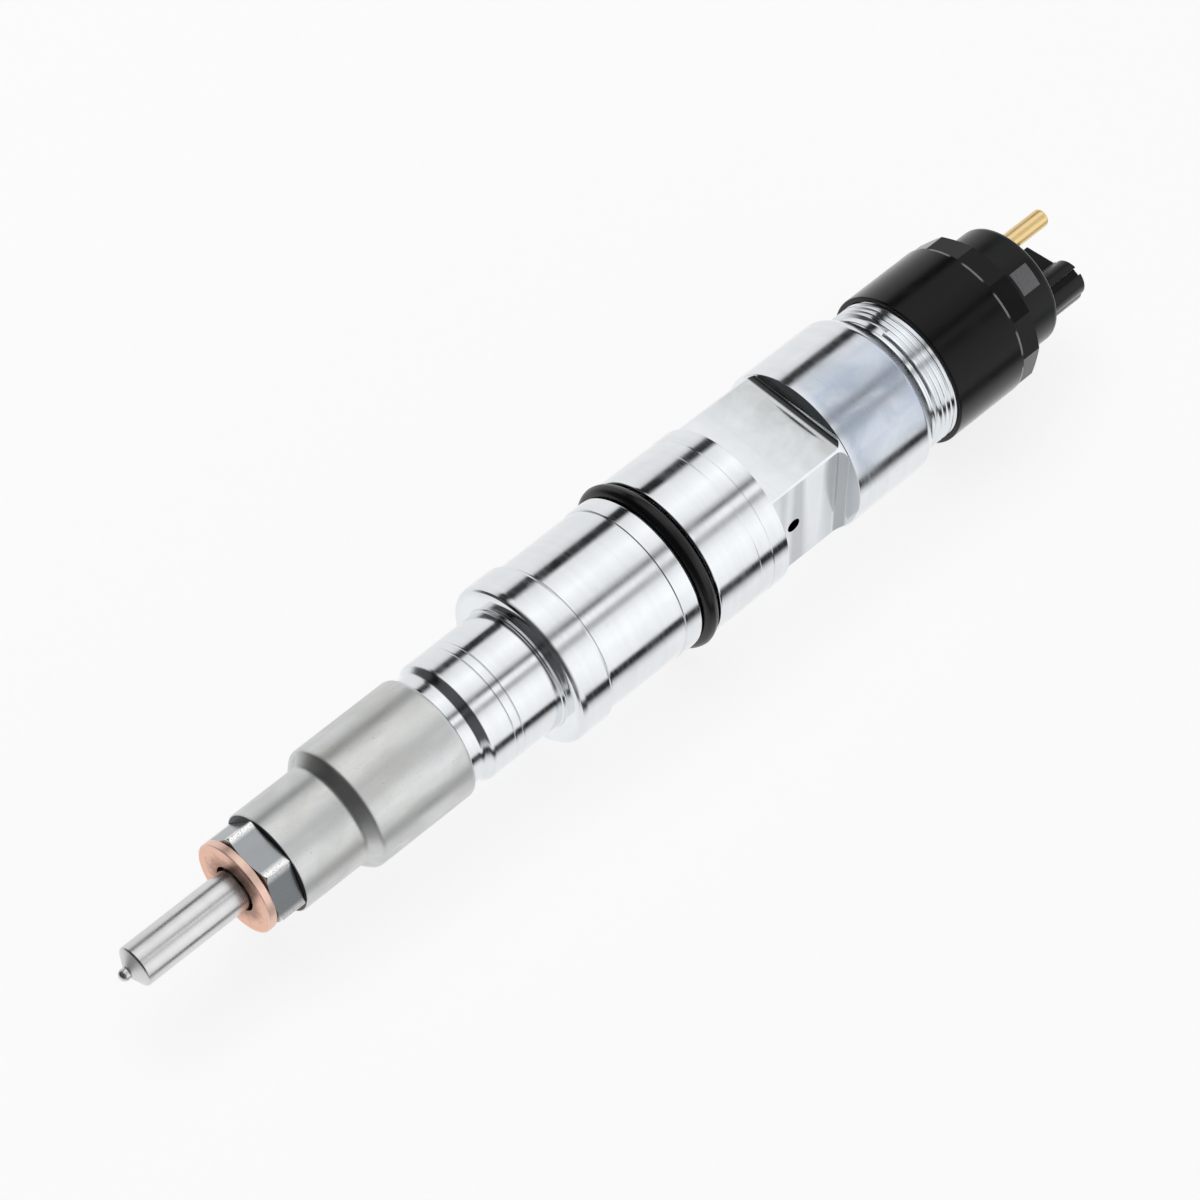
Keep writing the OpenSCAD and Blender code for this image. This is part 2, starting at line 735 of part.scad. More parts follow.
module valve_seal_ring() {
    color("saddlebrown")
        ring(stem_end + 0.9, stem_end + 2.5, socket_d - 2 * face_gap, socket_d - 1.6 + 2 * face_gap);
}

module valve_backup_ring() {
    color("ivory")
        ring(stem_end + 2.5, stem_end + 3.4, socket_d - 2 * face_gap, socket_d - 1.6 + 2 * face_gap);
}

module valve_clamp_screw() {
    top_x = floor_x - 0.5;
    color("dimgray")
        difference() {
            turned(concat(
                [[valve_top, clamp_bore_d / 2], [valve_top, relief_r(clamp_d)],
                    [valve_top + 1, relief_r(clamp_d)]],
                thread(valve_top + 1, valve_top + 1, floor_x - recess_len, clamp_d),
                [[top_x, relief_r(clamp_d)], [top_x, clamp_bore_d / 2]]
            ));
            for (turn = [0, 90])
                rotate([turn, 0, 0])
                    translate([top_x - 1.2, -clamp_d, -1])
                        cube([2, 2 * clamp_d, 2]);
        }
}

module valve_ball() {
    color("silver")
        translate([ball_x, 0, 0])
            sphere(d = ball_d, $fn = 48);
}

module ball_guide() {
    pocket = ball_x + ball_d / 2 + face_gap;
    color("lightslategray")
        turned([
            [ball_guide_x, ball_d / 2 + face_gap], [ball_guide_x, ball_guide_d / 2 - 0.2],
            [ball_guide_x + 0.2, ball_guide_d / 2], [pin_x, ball_guide_d / 2], [pin_x, 0],
            [pocket, 0], [pocket, ball_d / 2 + face_gap]
        ]);
}

module lift_shim() {
    color("silver")
        ring(floor_x, guide_x, chamber_d - 2 * drop_gap, recess_d + 0.4);
}

module armature_guide() {
    bore = pin_d + 2 * slide_gap;
    hub_d = clamp_bore_d - 2 * drop_gap;
    color("lightgray")
        difference() {
            turned([
                [pin_x + 1.5, bore / 2], [pin_x + 1.5, hub_d / 2 - 0.3],
                [pin_x + 1.8, hub_d / 2], [guide_x, hub_d / 2],
                [guide_x, chamber_d / 2 - drop_gap], [gap_shim_x, chamber_d / 2 - drop_gap],
                [gap_shim_x, bore / 2]
            ]);
            for (turn = [0:120:240])
                rotate([turn, 0, 0])
                    translate([guide_x - 1, 7, 0])
                        rotate([0, 90, 0])
                            cylinder(h = guide_flange_t + 2, d = 2, $fn = 32);
        }
}

module armature_pin() {
    groove_x0 = plate_top;
    groove_x1 = plate_top + washer2_t + face_gap;
    color("silver")
        turned([
            [pin_x, 0], [pin_x, pin_d / 2 - 0.1], [pin_x + 0.1, pin_d / 2],
            [groove_x0, pin_d / 2], [groove_x0, pin_neck_d / 2], [groove_x1, pin_neck_d / 2],
            [groove_x1, pin_d / 2], [pin_top - 0.1, pin_d / 2], [pin_top, pin_d / 2 - 0.1],
            [pin_top, 0]
        ]);
}

module armature_plate() {
    color("gray")
        difference() {
            ring(plate_x, plate_top, plate_d, pin_d + 2 * slide_gap);
            // Slots that let the fuel out of the gap.
            for (turn = [0:60:300])
                rotate([turn, 0, 0])
                    translate([plate_x - 1, 4.2, -0.5])
                        cube([plate_t + 2, plate_d, 1]);
        }
}

module armature_spring() {
    color("dimgray")
        spring(gap_shim_x + face_gap, plate_x - face_gap, pin_d + 2.2, 0.4, 2, 8, 24);
}

module lock_washer() {
    color("slategray")
        difference() {
            ring(plate_top + face_gap, plate_top + washer2_t, washer2_d, pin_neck_d + 2 * face_gap);
            translate([plate_top - 1, 0, -pin_neck_d / 2 - face_gap])
                cube([washer2_t + 2, washer2_d, pin_neck_d + 2 * face_gap]);
        }
}

module gap_shim() {
    color("silver")
        ring(gap_shim_x, sleeve_x, chamber_d - 2 * drop_gap, core_d + 2 * push_gap);
}

// ---------------------------------------------------------------- solenoid

module magnet_core() {
    color("dimgray")
        difference() {
            ring(core_x, core_top, core_d, core_bore_d);
            ring(core_x - 1, core_x + slot_depth, slot_out_d, slot_in_d);
            terminal_places() rod(core_x + slot_depth - 1, core_top + 1, seal_hole_d());
        }
}

function seal_hole_d() = 2.2;

// Puts its child at each terminal's place.
module terminal_places() {
    for (side = [-1, 1])
        terminal_place(side) children();
}

module terminal_place(side) {
    rotate([head_turn, 0, 0])
        translate([0, side * terminal_offset, 0])
            children();
}

module coil_bobbin() {
    x0 = core_x + 0.3;
    x1 = core_x + slot_depth - 0.1;
    wall = 0.6;
    color("sienna")
        turned([
            [x0, slot_in_d / 2 + push_gap], [x0, slot_out_d / 2 - push_gap],
            [x0 + wall, slot_out_d / 2 - push_gap], [x0 + wall, slot_in_d / 2 + push_gap + wall],
            [x1 - wall, slot_in_d / 2 + push_gap + wall], [x1 - wall, slot_out_d / 2 - push_gap],
            [x1, slot_out_d / 2 - push_gap], [x1, slot_in_d / 2 + push_gap]
        ]);
}

module coil_winding() {
    color("peru")
        ring(
            core_x + 0.3 + 0.6, core_x + slot_depth - 0.1 - 0.6,
            slot_out_d - 2 * push_gap - 0.3, slot_in_d + 2 * push_gap + 1.2
        );
}

module valve_spring() {
    color("dimgray")
        spring(pin_top + face_gap, core_top - shim_t - face_gap, core_bore_d - 1.6, 0.7, 7, 8, 20);
}

module valve_spring_shim() {
    color("silver")
        rod(core_top - shim_t, core_top, core_bore_d - 2 * push_gap);
}

module magnet_sleeve() {
    groove_mid = body_top - 4.0;
    groove_half = 0.75;
    groove_r = sleeve_d / 2 - 0.9;
    color("lightsteelblue")
        turned([
            [sleeve_x, core_d / 2 + push_gap], [sleeve_x, sleeve_d / 2 - 0.3],
            [sleeve_x + 0.3, sleeve_d / 2], [groove_mid - groove_half, sleeve_d / 2],
            [groove_mid - groove_half, groove_r], [groove_mid + groove_half, groove_r],
            [groove_mid + groove_half, sleeve_d / 2], [body_top, sleeve_d / 2],
            [body_top, sleeve_rim_r()], [rim2_top, sleeve_rim_r()],
            [rim2_top, core_d / 2 + push_gap]
        ]);
}

function sleeve_rim_r() = top_thread_d / 2 - thread_depth - 0.35;

module solenoid_seal_ring() {
    section = (chamber_d - sleeve_d) / 2 + 0.9 - 2 * face_gap;
    color([0.1, 0.1, 0.1])
        round_ring(body_top - 4.0, chamber_d - 2 * face_gap - section, section);
}

module terminal_seals() {
    color("darkgreen")
        terminal_places()
            ring(core_top - 3.5, core_top - 1.5, seal_hole_d() - 2 * face_gap, 1.2 + 2 * face_gap);
}

// One terminal: a thin foot in the core, a stem in the plastic and the rounded contact.
module terminal(side, reach) {
    contact_r = terminal_d / 2;
    end_x = head_top + reach;
    terminal_place(side)
        turned(concat(
            [
                [core_x + slot_depth, 0], [core_x + slot_depth, foot_r], [core_top + 1, foot_r],
                [core_top + 1, stem_r], [head_top + contact_gap, stem_r],
                [head_top + contact_gap, contact_r]
            ],
            bend(end_x - 1.2, contact_r - 1.2, 1.2, 90, 0),
            [[end_x, 0]]
        ));
}

module terminal_pin_1() {
    color("gold") terminal(1, terminal_len);
}

module terminal_pin_2() {
    color("gold") terminal(-1, tower_h - terminal_recess);
}

module connector_head() {
    plug_r = core_d / 2;
    flange_r = sleeve_rim_r();
    head_r = head_d / 2;
    round_r = 0.7;
    color([0.12, 0.12, 0.13])
        difference() {
            union() {
                turned(concat(
                    [
                        [core_top, 0], [core_top, plug_r], [rim2_top, plug_r],
                        [rim2_top, flange_r], [head_shoulder, flange_r], [head_shoulder, head_r]
                    ],
                    bend(head_top - round_r, head_r - round_r, round_r, 90, 0),
                    [[head_top, 0]]
                ));
                rotate([head_turn, 0, 0]) tower();
            }
            terminal_places() terminal_hole();
        }
}

// Hole in the plastic round a terminal's foot and stem.
module terminal_hole() {
    gap = face_gap / 2;
    turned([
        [core_top - 1, 0], [core_top - 1, foot_r + gap], [core_top + 1, foot_r + gap],
        [core_top + 1, stem_r + gap], [head_top + 1, stem_r + gap], [head_top + 1, 0]
    ]);
}

// Keyed tower: a collar round the second terminal with a grooved lobe, and a web towards the
// first terminal.
module tower() {
    wall_r = 3.7;
    lobe_r = 3.3;
    lobe_out = 1.9;
    groove_across = 1.3;
    groove_deep = 1.1;
    root = 1;
    web_t = 1.8;
    web_drop = 2.2;
    translate([0, -terminal_offset, 0])
        difference() {
            union() {
                rod(head_top - root, head_top + tower_h, 2 * wall_r);
                translate([0, 0, lobe_out])
                    rod(head_top - root, head_top + tower_h, 2 * lobe_r);
            }
            rod(head_top, head_top + tower_h + 1, terminal_d + 2);
            translate([head_top, -groove_across / 2, lobe_out + lobe_r - groove_deep])
                cube([tower_h + 1, groove_across, groove_deep + 1]);
        }
    // The web slopes down a little from the tower's top towards the first terminal.
    near = -terminal_offset + wall_r - 0.4;
    far = terminal_offset - terminal_d / 2 - 0.9;
    rotate([90, 0, 90])
        translate([0, 0, head_top])
            rotate([90, 0, 0])
                linear_extrude(web_t, center = true)
                    polygon([
                        [near, -root], [near, tower_h], [far, tower_h - web_drop], [far, -root]
                    ]);
}

module solenoid_nut() {
    edge = 0.5;
    color([0.15, 0.15, 0.16])
        difference() {
            union() {
                turned([
                    [cap_x, 0], [cap_x, cap_d / 2 - edge], [cap_x + edge, cap_d / 2],
                    [cap_flats_x, cap_d / 2], [cap_flats_x, 0]
                ]);
                intersection() {
                    translate([cap_flats_x - eps, 0, 0])
                        rotate([0, 90, 0])
                            rotate([0, 0, cap_turn])
                                cylinder(h = cap_flats_len + eps, d = cap_af / cos(15), $fn = 12);
                    turned([
                        [cap_flats_x - 1, 0], [cap_flats_x - 1, cap_d / 2],
                        [cap_end - edge, cap_d / 2], [cap_end, cap_af / 2 - edge], [cap_end, 0]
                    ]);
                }
            }
            turned(concat(
                [[cap_x - 1, 0], [cap_x - 1, top_thread_d / 2 + 0.1],
                    [first_ring(top_thread_x, cap_x + 0.2), top_thread_d / 2 + 0.1]],
                thread(top_thread_x, cap_x + 0.2, body_top, top_thread_d, thread_gap),
                [
                    [body_top, top_thread_d / 2 + 0.1], [body_top + 0.6, top_thread_d / 2 + 0.1],
                    [body_top + 0.6, sleeve_rim_r() + drop_gap],
                    [head_shoulder, sleeve_rim_r() + drop_gap],
                    [head_shoulder, head_d / 2 + drop_gap], [cap_end + 1, head_d / 2 + drop_gap],
                    [cap_end + 1, 0]
                ]
            ));
        }
}

nozzle_body();
nozzle_needle();
sealing_washer();
nozzle_nut();
dowel_pins();
spring_seat();
nozzle_spring();
spring_shim();
control_plunger();
injector_body();
body_seal_ring();
valve_piece();
valve_seal_ring();
valve_backup_ring();
valve_clamp_screw();
valve_ball();
ball_guide();
lift_shim();
armature_guide();
armature_pin();
armature_plate();
armature_spring();
lock_washer();
gap_shim();
magnet_core();
coil_bobbin();
coil_winding();
valve_spring();
valve_spring_shim();
magnet_sleeve();
solenoid_seal_ring();
terminal_seals();
terminal_pin_1();
terminal_pin_2();
connector_head();
solenoid_nut();
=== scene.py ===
"""Looks of a common-rail fuel injector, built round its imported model.

The injector lies along +X: the nozzle points to -X and the terminals to +X. Sizes in the
outlines are millimetres, and every mesh is in metres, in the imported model's frame.
"""

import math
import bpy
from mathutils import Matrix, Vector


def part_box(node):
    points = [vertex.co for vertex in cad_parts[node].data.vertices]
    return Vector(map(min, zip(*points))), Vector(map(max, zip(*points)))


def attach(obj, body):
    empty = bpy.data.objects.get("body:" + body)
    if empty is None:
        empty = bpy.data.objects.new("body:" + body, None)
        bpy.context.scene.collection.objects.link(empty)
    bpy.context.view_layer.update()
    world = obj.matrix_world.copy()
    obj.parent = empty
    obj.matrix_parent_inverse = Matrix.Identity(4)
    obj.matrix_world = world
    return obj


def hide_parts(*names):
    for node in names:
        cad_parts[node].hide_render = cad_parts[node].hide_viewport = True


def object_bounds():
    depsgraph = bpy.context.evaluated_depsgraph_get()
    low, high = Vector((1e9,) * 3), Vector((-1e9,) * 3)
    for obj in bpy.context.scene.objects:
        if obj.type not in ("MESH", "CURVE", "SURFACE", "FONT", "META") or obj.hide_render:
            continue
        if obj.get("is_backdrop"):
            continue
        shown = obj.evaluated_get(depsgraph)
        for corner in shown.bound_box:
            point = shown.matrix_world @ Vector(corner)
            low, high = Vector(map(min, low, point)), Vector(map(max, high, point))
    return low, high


bl_info = {
    "name": "Fuel Injector Looks",
    "version": (1, 0, 0),
    "blender": (4, 5, 0),
    "location": "3D View > Sidebar > Injector",
    "description": "Models the outer pieces of a fuel injector and gives every piece its finish",
    "category": "Object",
}

from types import SimpleNamespace

import bpy
from bpy.props import FloatProperty, FloatVectorProperty, IntProperty, PointerProperty
from mathutils import Matrix, Vector

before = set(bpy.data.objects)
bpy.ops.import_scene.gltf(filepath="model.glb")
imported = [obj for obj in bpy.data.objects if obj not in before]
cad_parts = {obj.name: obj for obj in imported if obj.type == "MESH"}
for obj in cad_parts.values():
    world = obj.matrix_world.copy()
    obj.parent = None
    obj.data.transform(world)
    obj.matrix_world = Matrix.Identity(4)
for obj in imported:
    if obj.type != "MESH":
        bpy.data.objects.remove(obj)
CAD_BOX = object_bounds()

MM = 0.001


def node_span(node):
    """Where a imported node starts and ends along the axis, and its largest radius, in millimetres."""
    low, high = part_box(node)
    return low.x / MM, high.x / MM, max(high.y, high.z, -low.y, -low.z) / MM


TIP_X, NOZZLE_END, COLLAR_R = node_span("nozzle_body")
WASHER_START, WASHER_END, WASHER_R = node_span("sealing_washer")
NUT_START, NUT_END, NUT_R = node_span("nozzle_nut")
BODY_END = node_span("injector_body")[1]
SEAL_START, SEAL_END, SEAL_R = node_span("body_seal_ring")
CAP_START, CAP_END, CAP_R = node_span("solenoid_nut")
HEAD_START, _, HEAD_FLANGE_R = node_span("connector_head")
PIN_START, PIN_1_END, _ = node_span("terminal_pin_1")
PIN_2_END = node_span("terminal_pin_2")[1]
CAP_SHOULDER = BODY_END + 6.7  # where the solenoid nut clamps the head's flange
MELT = 0.002  # points closer than this are merged


def length(label, default):
    """A length that a user may change."""
    return FloatProperty(name=label, default=default, min=0.0, precision=5, unit="LENGTH")


def turn(label, degrees):
    """An angle that a user may change."""
    return FloatProperty(name=label, default=math.radians(degrees), subtype="ANGLE")


def colour(label, default):
    """A colour that a user may change."""
    return FloatVectorProperty(
        name=label, default=default, size=3, min=0.0, max=1.0, subtype="COLOR"
    )


class InjectorSizes(bpy.types.PropertyGroup):
    """Sizes of the outer pieces."""

    rings: IntProperty(name="Faces round each turned piece", default=120, min=24, max=256)
    shank_r: length("Radius of the nozzle's shank", 0.0035)
    shank_x: length("How far the shank stands out of the washer", 0.0195)
    sac_r: length("Radius of the rounded tip", 0.001025)
    spray_r: length("Radius of a spray hole", 0.00009)
    hex_af: length("Width across the nozzle nut's flats", 0.015)
    hex_r: length("Radius that the hexagon's corners are turned to", 0.0086)
    hex_end: length("Where the hexagon ends along the axis", 0.0067)
    hex_turn: turn("Turn of the hexagon about the axis", 40)
    nut_small_r: length("Radius of the nozzle nut's thin part", 0.00895)
    nut_cone_x: length("Where the nozzle nut starts to widen", 0.0187)
    nut_large_x: length("Where the nozzle nut's thick part starts", 0.0207)
    neck_r: length("Radius of the body behind the nozzle nut", 0.0098)
    shaft_r: length("Radius of the body's lower shaft", 0.01085)
    shaft_x: length("Where the lower shaft starts", 0.0436)
    flange_x: length("Where the collar flange starts", 0.0584)
    flange_r: length("Radius of the collar flange", 0.0146)
    land_x: length("Where the inlet land starts", 0.065)
    land_r: length("Radius of the inlet land", 0.01395)
    rim_x: length("Where the rim in front of the seal starts", 0.0816)
    rim_r: length("Radius of the rim in front of the seal", 0.0142)
    groove_x: length("Where the seal's groove starts", 0.085)
    mid_x: length("Where the body behind the seal starts", 0.0886)
    body_r: length("Radius of the upper body", 0.0147)
    flats_x: length("Where the clamp flats start", 0.1038)
    flats_end: length("Where the clamp flats end", 0.1201)
    flats_af: length("Width across the clamp flats", 0.0208)
    cone_x: length("Where the body narrows to the top thread", 0.1362)
    thread_r: length("Radius of the top thread's crest", 0.01315)
    thread_x: length("Where the top thread starts", 0.1394)
    pitch: length("Pitch of the top thread", 0.001)
    inlet_x: length("Where the fuel inlet is along the axis", 0.073)
    inlet_r: length("Radius of the fuel inlet's socket", 0.0046)
    leak_x: length("Where the leak hole is along the axis", 0.1092)
    leak_r: length("Radius of the leak hole", 0.0013)
    seal_section_r: length("Radius of the seal ring's section", 0.0015)
    cap_flats_x: length("Where the solenoid nut's twelve flats start", 0.1592)
    cap_af: length("Width across the solenoid nut's flats", 0.027)
    cap_turn: turn("Turn of the solenoid nut's flats about the axis", 22)
    head_r: length("Radius of the plastic head", 0.011)
    head_top: length("Where the plastic head's top face is", 0.1711)
    tower_top: length("Where the keyed tower ends", 0.18)
    head_turn: turn("Turn of the head about the axis", 27)
    pin_r: length("Radius of a terminal", 0.0016)
    pin_offset: length("Distance of a terminal from the axis", 0.0054)


class InjectorColours(bpy.types.PropertyGroup):
    """Base colours of the finishes."""

    bright_steel: colour("Turned steel of the body", (0.90, 0.925, 0.95))
    ground_steel: colour("Ground steel of the nozzle", (0.80, 0.80, 0.81))
    nut_steel: colour("Satin steel of the nozzle nut", (0.68, 0.695, 0.70))
    copper: colour("Copper of the sealing washer", (0.86, 0.49, 0.36))
    rubber: colour("Black rubber of the seal rings", (0.003, 0.003, 0.0035))
    black_nut: colour("Black coat of the solenoid nut", (0.0018, 0.0018, 0.0024))
    plastic: colour("Black plastic of the head", (0.0045, 0.005, 0.006))
    patch: colour("Plain grey square on the head", (0.19, 0.19, 0.195))
    gold: colour("Gold plating of the terminals", (0.92, 0.66, 0.28))


def sizes():
    """All lengths of the scene in millimetres, and the angles and counts as they are."""
    group = bpy.context.scene.injector_sizes
    found = {}
    for name, prop in group.bl_rna.properties.items():
        if prop.type in {"FLOAT", "INT"}:
            value = getattr(group, name)
            found[name] = value / MM if prop.type == "FLOAT" and prop.unit == "LENGTH" else value
    return SimpleNamespace(**found)


def colours():
    """The scene's base colours."""
    return bpy.context.scene.injector_colours


# ---------------------------------------------------------------- modelling


def soften(corners, steps=5, hold=0.02):
    """Outline with rounded corners. A corner is (x, radius) or (x, radius, size of the round).

    A holding point beside each round keeps the long faces flat in smooth shading.
    """
    points = []
    for i, corner in enumerate(corners):
        here = Vector(corner[:2])
        if len(corner) < 3 or i in (0, len(corners) - 1):
            points.append(here)
            continue
        back, ahead = Vector(corners[i - 1][:2]) - here, Vector(corners[i + 1][:2]) - here
        size = min(corner[2], 0.42 * back.length, 0.42 * ahead.length)
        first, last = here + back.normalized() * size, here + ahead.normalized() * size
        points.append(first + back.normalized() * hold)
        for k in range(steps + 1):
            t = k / steps
            points.append(first * (1 - t) ** 2 + here * 2 * t * (1 - t) + last * t * t)
        points.append(last + ahead.normalized() * hold)
    return points


def ring_thread(x0, x1, crest_r, depth, pitch=1.0):
    """Corners of a hidden thread, as separate rings from x0 to x1."""
    corners = []
    for i in range(int((x1 - x0) / pitch + 0.01)):
        for share, cut in ((0.06, 1), (0.44, 0), (0.56, 0), (0.94, 1)):
            corners.append((x0 + (i + share) * pitch, crest_r - depth * cut))
    return corners


def pick(piece):
    """Makes a piece the active one and the only selected one."""
    bpy.ops.object.select_all(action="DESELECT")
    piece.select_set(True)
    bpy.context.view_layer.objects.active = piece


def edit(piece):
    """Makes a piece the only selected one and opens it in edit mode."""
    if bpy.context.mode != "OBJECT":
        bpy.ops.object.mode_set(mode="OBJECT")
    pick(piece)
    bpy.ops.object.mode_set(mode="EDIT")
    bpy.ops.mesh.select_mode(type="VERT")


def merge_all():
    """Merges the doubles of the edited piece."""
    bpy.ops.mesh.select_all(action="SELECT")
    bpy.ops.mesh.remove_doubles(threshold=MELT * MM)


def close_up():
    """Merges the edited piece's doubles, turns its faces outwards and leaves edit mode."""
    merge_all()
    bpy.ops.mesh.normals_make_consistent(inside=False)
    bpy.ops.object.mode_set(mode="OBJECT")


def drawn(name, points):
    """New piece in edit mode: a point is extruded along (x, radius) points in millimetres."""
    bpy.ops.mesh.primitive_plane_add(size=MM)
    piece = bpy.context.active_object
    piece.name = piece.data.name = name
    edit(piece)
    bpy.ops.mesh.select_all(action="SELECT")
    bpy.ops.mesh.merge(type="CENTER")
    here = Vector((points[0][0], 0, points[0][1])) * MM
    bpy.ops.transform.translate(value=here)
    for point in points[1:]:
        there = Vector((point[0], 0, point[1])) * MM
        bpy.ops.mesh.extrude_region_move(TRANSFORM_OT_translate={"value": there - here})
        here = there
    return piece


def turned(name, outline, steps, closed=True):
    """Turned piece: its outline is drawn and spun about X."""
    piece = drawn(name, list(outline) + ([outline[0]] if closed else []))
    bpy.ops.mesh.select_all(action="SELECT")
    bpy.ops.mesh.spin(steps=steps, angle=math.tau, center=(0, 0, 0), axis=(1, 0, 0))
    close_up()
    return piece


def select_where(piece, kind, test):
    """Selects the vertices or edges of an edited piece whose points all pass a test."""
    bpy.ops.mesh.select_mode(type=kind)
    bpy.ops.mesh.select_all(action="DESELECT")
    bpy.ops.object.mode_set(mode="OBJECT")
    mesh = piece.data
    for item in mesh.vertices if kind == "VERT" else mesh.edges:
        corners = [item.index] if kind == "VERT" else item.vertices
        item.select = all(test(mesh.vertices[i].co / MM) for i in corners)
    bpy.ops.object.mode_set(mode="EDIT")


def place_in_mesh(piece):
    """Applies a piece's place, turn and scale to its mesh."""
    pick(piece)
    bpy.ops.object.transform_apply(location=True, rotation=True, scale=True)


def boolean(piece, other, operation="DIFFERENCE"):
    """Cuts another shape from a piece, or joins it to the piece, and removes the other shape."""
    pick(piece)
    modifier = piece.modifiers.new(operation.title(), "BOOLEAN")
    modifier.operation = operation
    modifier.solver = "EXACT"
    modifier.object = other
    bpy.ops.object.modifier_apply(modifier=modifier.name)
    bpy.data.objects.remove(other, do_unlink=True)


def block(size, middle):
    """Block of a size round its middle, all in millimetres."""
    bpy.ops.mesh.primitive_cube_add(
        size=1, scale=[v * MM for v in size], location=[v * MM for v in middle]
    )
    piece = bpy.context.active_object
    place_in_mesh(piece)
    return piece


def drill(start, way, depth, radius, end_radius=None, steps=32):
    """Round cutter from a start point along a way, all in millimetres."""
    way = Vector(way).normalized()
    middle = (Vector(start) + way * depth / 2) * MM
    bpy.ops.mesh.primitive_cone_add(
        vertices=steps, radius1=radius * MM, depth=depth * MM,
        radius2=(radius if end_radius is None else end_radius) * MM, location=middle,
        rotation=way.to_track_quat("Z", "Y").to_euler(),
    )
    cutter = bpy.context.active_object
    place_in_mesh(cutter)
    return cutter


def flats_cutter(x0, x1, across, count, angle, fillet=0.0, outer=20.0):
    """Tube with an inner hole of count flats: cut from a round piece, it leaves the flats.

    A fillet rounds the corner between the flats and the wall at their far end.
    """
    corner = 1 / math.cos(math.pi / count)
    bpy.ops.mesh.primitive_cylinder_add(
        vertices=count, radius=outer * corner * MM, depth=(x1 - x0) * MM,
        location=((x0 + x1) / 2 * MM, 0, 0), rotation=(0, math.pi / 2, 0),
    )
    cutter = bpy.context.active_object
    place_in_mesh(cutter)
    edit(cutter)
    bpy.ops.mesh.select_mode(type="FACE")
    bpy.ops.mesh.select_all(action="DESELECT")
    bpy.ops.object.mode_set(mode="OBJECT")
    for face in cutter.data.polygons:
        face.select = abs(face.normal.x) > 0.9
    bpy.ops.object.mode_set(mode="EDIT")
    bpy.ops.mesh.inset(thickness=(outer - across / 2) * MM, use_individual=True)
    bpy.ops.mesh.bridge_edge_loops()
    if fillet:
        reach = across / 2 * corner + 0.1
        select_where(
            cutter, "EDGE", lambda p: p.x > x1 - 0.01 and math.hypot(p.y, p.z) < reach
        )
        bpy.ops.mesh.bevel(offset=fillet * MM, segments=7)
    close_up()
    cutter.rotation_euler.x = angle - math.pi / 2
    place_in_mesh(cutter)
    return cutter


def finish_piece(piece, slot, *nodes):
    """Shades a piece, gives it its finish and puts it on the injector in place of its nodes."""
    pick(piece)
    bpy.ops.object.shade_smooth_by_angle(angle=math.radians(20))
    piece.data.materials.clear()
    piece.data.materials.append(finish(slot))
    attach(piece, "injector")
    if nodes:
        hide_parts(*nodes)


# ---------------------------------------------------------------- finishes


